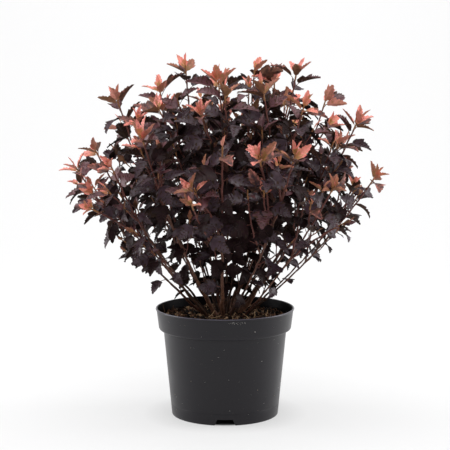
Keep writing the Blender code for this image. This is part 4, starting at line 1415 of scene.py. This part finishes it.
class GrowShoots(bpy.types.Operator):
    """Grow the leafy shoots and twigs, red where they are young"""

    bl_idname = "ninebark.grow_shoots"
    bl_label = "Grow the shoots"

    def execute(self, context):
        looks = context.scene.ninebark_shrub
        stems = Gathered()
        for cane in grown_canes():
            chance = random.Random(f"stems {cane.number}")
            for shoot in cane.shoots:
                rings = max(4, int((shoot.top - shoot.start) * shoot.length / SHOOT_STEP))
                shares = [shoot.start + (shoot.top - shoot.start) * k / (rings - 1) for k in range(rings)]
                phase = chance.uniform(0.0, 6.28)
                sway = aside_from(curve_direction(shoot.curve, 0.5), chance.uniform(0.0, 6.28))
                path = []
                for share in shares:
                    walk = share * shoot.length
                    calm = min(1.0, (share - shoot.start) * 6.0) * min(1.0, (shoot.top - share) * 6.0)
                    offset = SHOOT_WAVE * calm * math.sin(phase + walk * 210.0)
                    path.append(curve_point(shoot.curve, share) + sway * offset)

                def radius_at(ring, angle, shoot=shoot, rings=rings, shares=shares):
                    share = ring / (rings - 1)
                    plain = shoot.thick + (shoot.thin - shoot.thick) * share ** 0.8
                    return plain * (1.0 + 0.14 * math.cos(shares[ring] * shoot.length * 420.0))

                points = tube_points(path, radius_at, SHOOT_SIDES)
                count = len(tube_pattern(rings, SHOOT_SIDES).counts)
                tones = [self.tone(shoot, shares[min(rings - 1, max(0, (face - 1) // SHOOT_SIDES))])
                         for face in range(count)]
                pattern = tube_pattern(rings, SHOOT_SIDES)
                toned = Pattern([], [])
                toned.corners, toned.counts = pattern.corners, pattern.counts
                toned.finishes = np.array(tones, np.int32)
                stems.add(points, toned)
        finishes = [
            bark_finish("shoot_brown", (0.150, 0.068, 0.046), 0.5, 0.62),
            bark_finish("shoot_red", looks.shoot_colour, 0.6, 0.5),
            bark_finish("shoot_tip_olive", (0.30, 0.135, 0.055), 0.7, 0.48),
        ]
        piece = stems.make("leafy_shoots", finishes, math.radians(60))
        settle(piece, "cane_bark", *[f"foliage_{k + 1:02d}" for k in range(len(CANES))])
        return {"FINISHED"}

    @staticmethod
    def tone(shoot, share):
        to_tip = (shoot.top - share) * shoot.length
        if shoot.rank == "spur":
            return 0
        if to_tip < 0.018:
            return 2
        return 1 if to_tip < 0.12 else 0


LEAF_GROUPS = 4
LEAF_CREASE = math.radians(38)


def grown_leaf_finishes(colour):
    """Base, middle, margin and underside of shaded, purple, bronze and blushing leaves, in that order; the shaded set
    is the purple darkened and warmed, painted shade for leaves inside the crown.
    """
    finishes = []
    for name, factor, tint, under, roughness, gloss in (
        # The first row is painted shade: the purple at 0.30, warmer and with little gloss.
        ("shaded", 0.30, (1.12, 0.88, 0.72), (0.024, 0.013, 0.009), 0.46, 0.10),
        ("purple", 0.80, (1.0, 1.0, 1.0), (0.050, 0.028, 0.020), 0.38, 0.30),
        ("bronze", 1.35, (1.40, 1.0, 0.85), (0.085, 0.045, 0.029), 0.38, 0.30),
    ):
        upper = tinted(colour, factor, tint)
        middle = leaf_finish(f"leaf_{name}", upper, tinted(upper, 1.5), roughness, gloss=gloss)
        dark, light = tinted(upper, 0.75), tinted(upper, 1.15)
        margin = leaf_finish(f"leaf_{name}_margin", dark, light, roughness, gloss=gloss)
        finishes += [middle, middle, margin]
        finishes.append(leaf_finish(f"leaf_{name}_under", tinted(under, 0.7), under, 0.62, gloss=0.10))
    finishes += [
        leaf_finish("leaf_blush_base", (0.14, 0.062, 0.036), (0.070, 0.032, 0.030), 0.48),
        leaf_finish("leaf_blush", (0.19, 0.068, 0.055), (0.045, 0.022, 0.027), 0.48),
        leaf_finish("leaf_blush_margin", (0.44, 0.150, 0.120), (0.10, 0.040, 0.038), 0.48),
        leaf_finish("leaf_blush_under", (0.20, 0.088, 0.055), (0.085, 0.042, 0.032), 0.6),
    ]
    return finishes


def young_leaf_finishes(tip):
    """Base, middle, margin and underside of salmon, pink and amber young leaves, in that order."""
    return [
        leaf_finish("young_salmon_base", (0.34, 0.185, 0.060), (0.56, 0.235, 0.115), 0.46),
        leaf_finish("young_salmon", (0.58, 0.215, 0.140), tip, 0.46, 260.0),
        leaf_finish("young_salmon_margin", tip, (0.62, 0.150, 0.125), 0.46, 260.0),
        leaf_finish("young_salmon_under", (0.46, 0.215, 0.110), (0.66, 0.250, 0.170), 0.52),
        leaf_finish("young_pink_base", (0.38, 0.190, 0.075), (0.62, 0.240, 0.140), 0.46),
        leaf_finish("young_pink", (0.42, 0.140, 0.115), (0.84, 0.320, 0.270), 0.46, 260.0),
        leaf_finish("young_pink_margin", (0.88, 0.34, 0.290), (0.66, 0.190, 0.160), 0.46, 260.0),
        leaf_finish("young_pink_under", (0.52, 0.225, 0.145), (0.74, 0.300, 0.235), 0.52),
        leaf_finish("young_amber_base", (0.20, 0.105, 0.034), (0.27, 0.120, 0.048), 0.46),
        leaf_finish("young_amber", (0.20, 0.080, 0.044), (0.32, 0.125, 0.075), 0.46),
        leaf_finish("young_amber_margin", (0.42, 0.150, 0.105), (0.18, 0.066, 0.046), 0.46),
        leaf_finish("young_amber_under", (0.20, 0.098, 0.048), (0.28, 0.130, 0.072), 0.52),
    ]


class GrowLeaves(bpy.types.Operator):
    """Deal out grown and young leaves along every shoot"""

    bl_idname = "ninebark.grow_leaves"
    bl_label = "Grow the leaves"

    def execute(self, context):
        looks = context.scene.ninebark_shrub
        foliage = Foliage(looks)
        canes = grown_canes()
        groups = [Gathered() for k in range(LEAF_GROUPS)]
        for cane in canes:
            foliage.dress(cane, groups[cane.number * LEAF_GROUPS // len(canes)])
        grown = grown_leaf_finishes(looks.leaf_colour)
        for k, group in enumerate(groups):
            piece = group.make(f"grown_leaves_{k + 1}", grown, LEAF_CREASE)
            settle(piece, "leaves_and_shoots", *[f"foliage_{n + 1:02d}" for n in range(len(CANES))])
        young = young_leaf_finishes(looks.tip_colour)
        settle(foliage.young.make("young_leaves", young, LEAF_CREASE), "leaves_and_shoots")
        stalk = bark_finish("leaf_stalk_red", (0.16, 0.055, 0.042), 0.6, 0.5)
        settle(foliage.stalks.make("leaf_stalks", [stalk], math.radians(60)), "leaves_and_shoots")
        fresh = bark_finish("young_stalk_olive", (0.40, 0.21, 0.075), 0.7, 0.48)
        settle(foliage.young_stalks.make("young_stalks", [fresh], math.radians(60)), "leaves_and_shoots")
        return {"FINISHED"}


# Stage

CAMERA_PLACE = (0.0, -2.2346, 0.5823)
CAMERA_PITCH = math.radians(90 - 6.8)
CAMERA_LENS = 109.13
SENSOR = 36.0
FLOOR_REACH = 4.0
WALL_DISTANCE = 2.6
WALL_HEIGHT = 3.2
SWEEP_RADIUS = 1.2
AIR_LIGHT = 0.13
AIR_SEEN = 0.85


def soft_light(name, place, target, width, height, power, colour=(1.0, 1.0, 1.0)):
    lamp = bpy.data.lights.new(name, "AREA")
    lamp.shape = "RECTANGLE"
    lamp.size = width
    lamp.size_y = height
    lamp.energy = power
    lamp.color = colour
    made = bpy.data.objects.new(name, lamp)
    made.location = place
    made.rotation_euler = (Vector(target) - Vector(place)).to_track_quat("-Z", "Y").to_euler()
    bpy.context.scene.collection.objects.link(made)
    return made


class SetStage(bpy.types.Operator):
    """Set the pale floor, the soft lights and the camera"""

    bl_idname = "ninebark.set_stage"
    bl_label = "Set the stage"

    def execute(self, context):
        profile = [(-FLOOR_REACH, 0.0), (WALL_DISTANCE - SWEEP_RADIUS, 0.0)]
        for k in range(1, 17):
            angle = 0.5 * math.pi * k / 16
            profile.append((
                WALL_DISTANCE - SWEEP_RADIUS + SWEEP_RADIUS * math.sin(angle),
                SWEEP_RADIUS * (1.0 - math.cos(angle)),
            ))
        profile.append((WALL_DISTANCE, WALL_HEIGHT))
        points = [(side * FLOOR_REACH, y, z) for y, z in profile for side in (-1, 1)]
        faces = [(2 * k, 2 * k + 1, 2 * k + 3, 2 * k + 2) for k in range(len(profile) - 1)]
        sweep = Gathered()
        sweep.add(points, Pattern(faces, [0] * len(faces)))
        looks = context.scene.ninebark_stage
        finish = stage_finish(looks.floor_colour, looks.floor_painted_glow)
        floor = sweep.make("studio_floor", [finish], math.radians(60))

        world = bpy.data.worlds.new("studio_air")
        world.use_nodes = True
        air = Nodes(world.node_tree)
        background = air.tree.nodes["Background"]
        seen = air.node("ShaderNodeLightPath", {}, {}, output="Is Camera Ray")
        air.feed(background.inputs["Color"], (1.0, 1.0, 1.0))
        air.feed(background.inputs["Strength"], AIR_LIGHT + (AIR_SEEN - AIR_LIGHT) * seen)
        context.scene.world = world
        soft_light("light_above", (0.0, -0.3, 2.4), (0.0, 0.0, 0.3), 2.6, 1.8, 50.0)
        soft_light("light_front", (0.0, -2.6, 2.2), (0.0, 0.0, 0.35), 2.6, 1.4, 25.0)
        soft_light("light_left", (-2.1, 0.3, 0.9), (0.0, 0.0, 0.30), 1.2, 1.8, 34.0)
        soft_light("light_right", (2.1, 0.3, 0.9), (0.0, 0.0, 0.30), 1.2, 1.8, 34.0)
        soft_light("light_wall", (0.0, 0.9, 2.4), (0.0, WALL_DISTANCE, 1.0), 3.0, 0.8, 36.0)

        lens = bpy.data.cameras.new("studio_camera")
        lens.lens = CAMERA_LENS
        lens.sensor_width = SENSOR
        camera = bpy.data.objects.new("studio_camera", lens)
        camera.location = CAMERA_PLACE
        camera.rotation_euler = (CAMERA_PITCH, 0.0, 0.0)
        context.scene.collection.objects.link(camera)
        context.scene.camera = camera
        context.scene.view_settings.view_transform = "Standard"
        context.scene.view_settings.look = "None"
        return {"FINISHED"}


class NinebarkPanel(bpy.types.Panel):
    """The shrub's sizes, colours and building steps"""

    bl_label = "Ninebark"
    bl_idname = "VIEW3D_PT_ninebark"
    bl_space_type = "VIEW_3D"
    bl_region_type = "UI"
    bl_category = "Ninebark"

    def draw(self, context):
        for name, group in LOOKS.items():
            box = self.layout.box()
            box.label(text=name.replace("ninebark_", "").title())
            looks = getattr(context.scene, name)
            for value in group.__annotations__:
                box.prop(looks, value)
        for operator in STEPS:
            self.layout.operator(operator.bl_idname)


LOOKS = {
    "ninebark_pot": PotLooks,
    "ninebark_soil": SoilLooks,
    "ninebark_shrub": ShrubLooks,
    "ninebark_stage": StageLooks,
}
STEPS = (BuildPot, FillSoil, GrowCanes, GrowShoots, GrowLeaves, SetStage)


def register():
    for group in (*LOOKS.values(), *STEPS, NinebarkPanel):
        bpy.utils.register_class(group)
    for name, group in LOOKS.items():
        setattr(bpy.types.Scene, name, PointerProperty(type=group))


def unregister():
    for name in LOOKS:
        delattr(bpy.types.Scene, name)
    for group in reversed((*LOOKS.values(), *STEPS, NinebarkPanel)):
        bpy.utils.unregister_class(group)


def main():
    register()
    bpy.ops.ninebark.build_pot()
    bpy.ops.ninebark.fill_soil()
    bpy.ops.ninebark.grow_canes()
    bpy.ops.ninebark.grow_shoots()
    bpy.ops.ninebark.grow_leaves()
    bpy.ops.ninebark.set_stage()


if __name__ == "__main__":
    main()
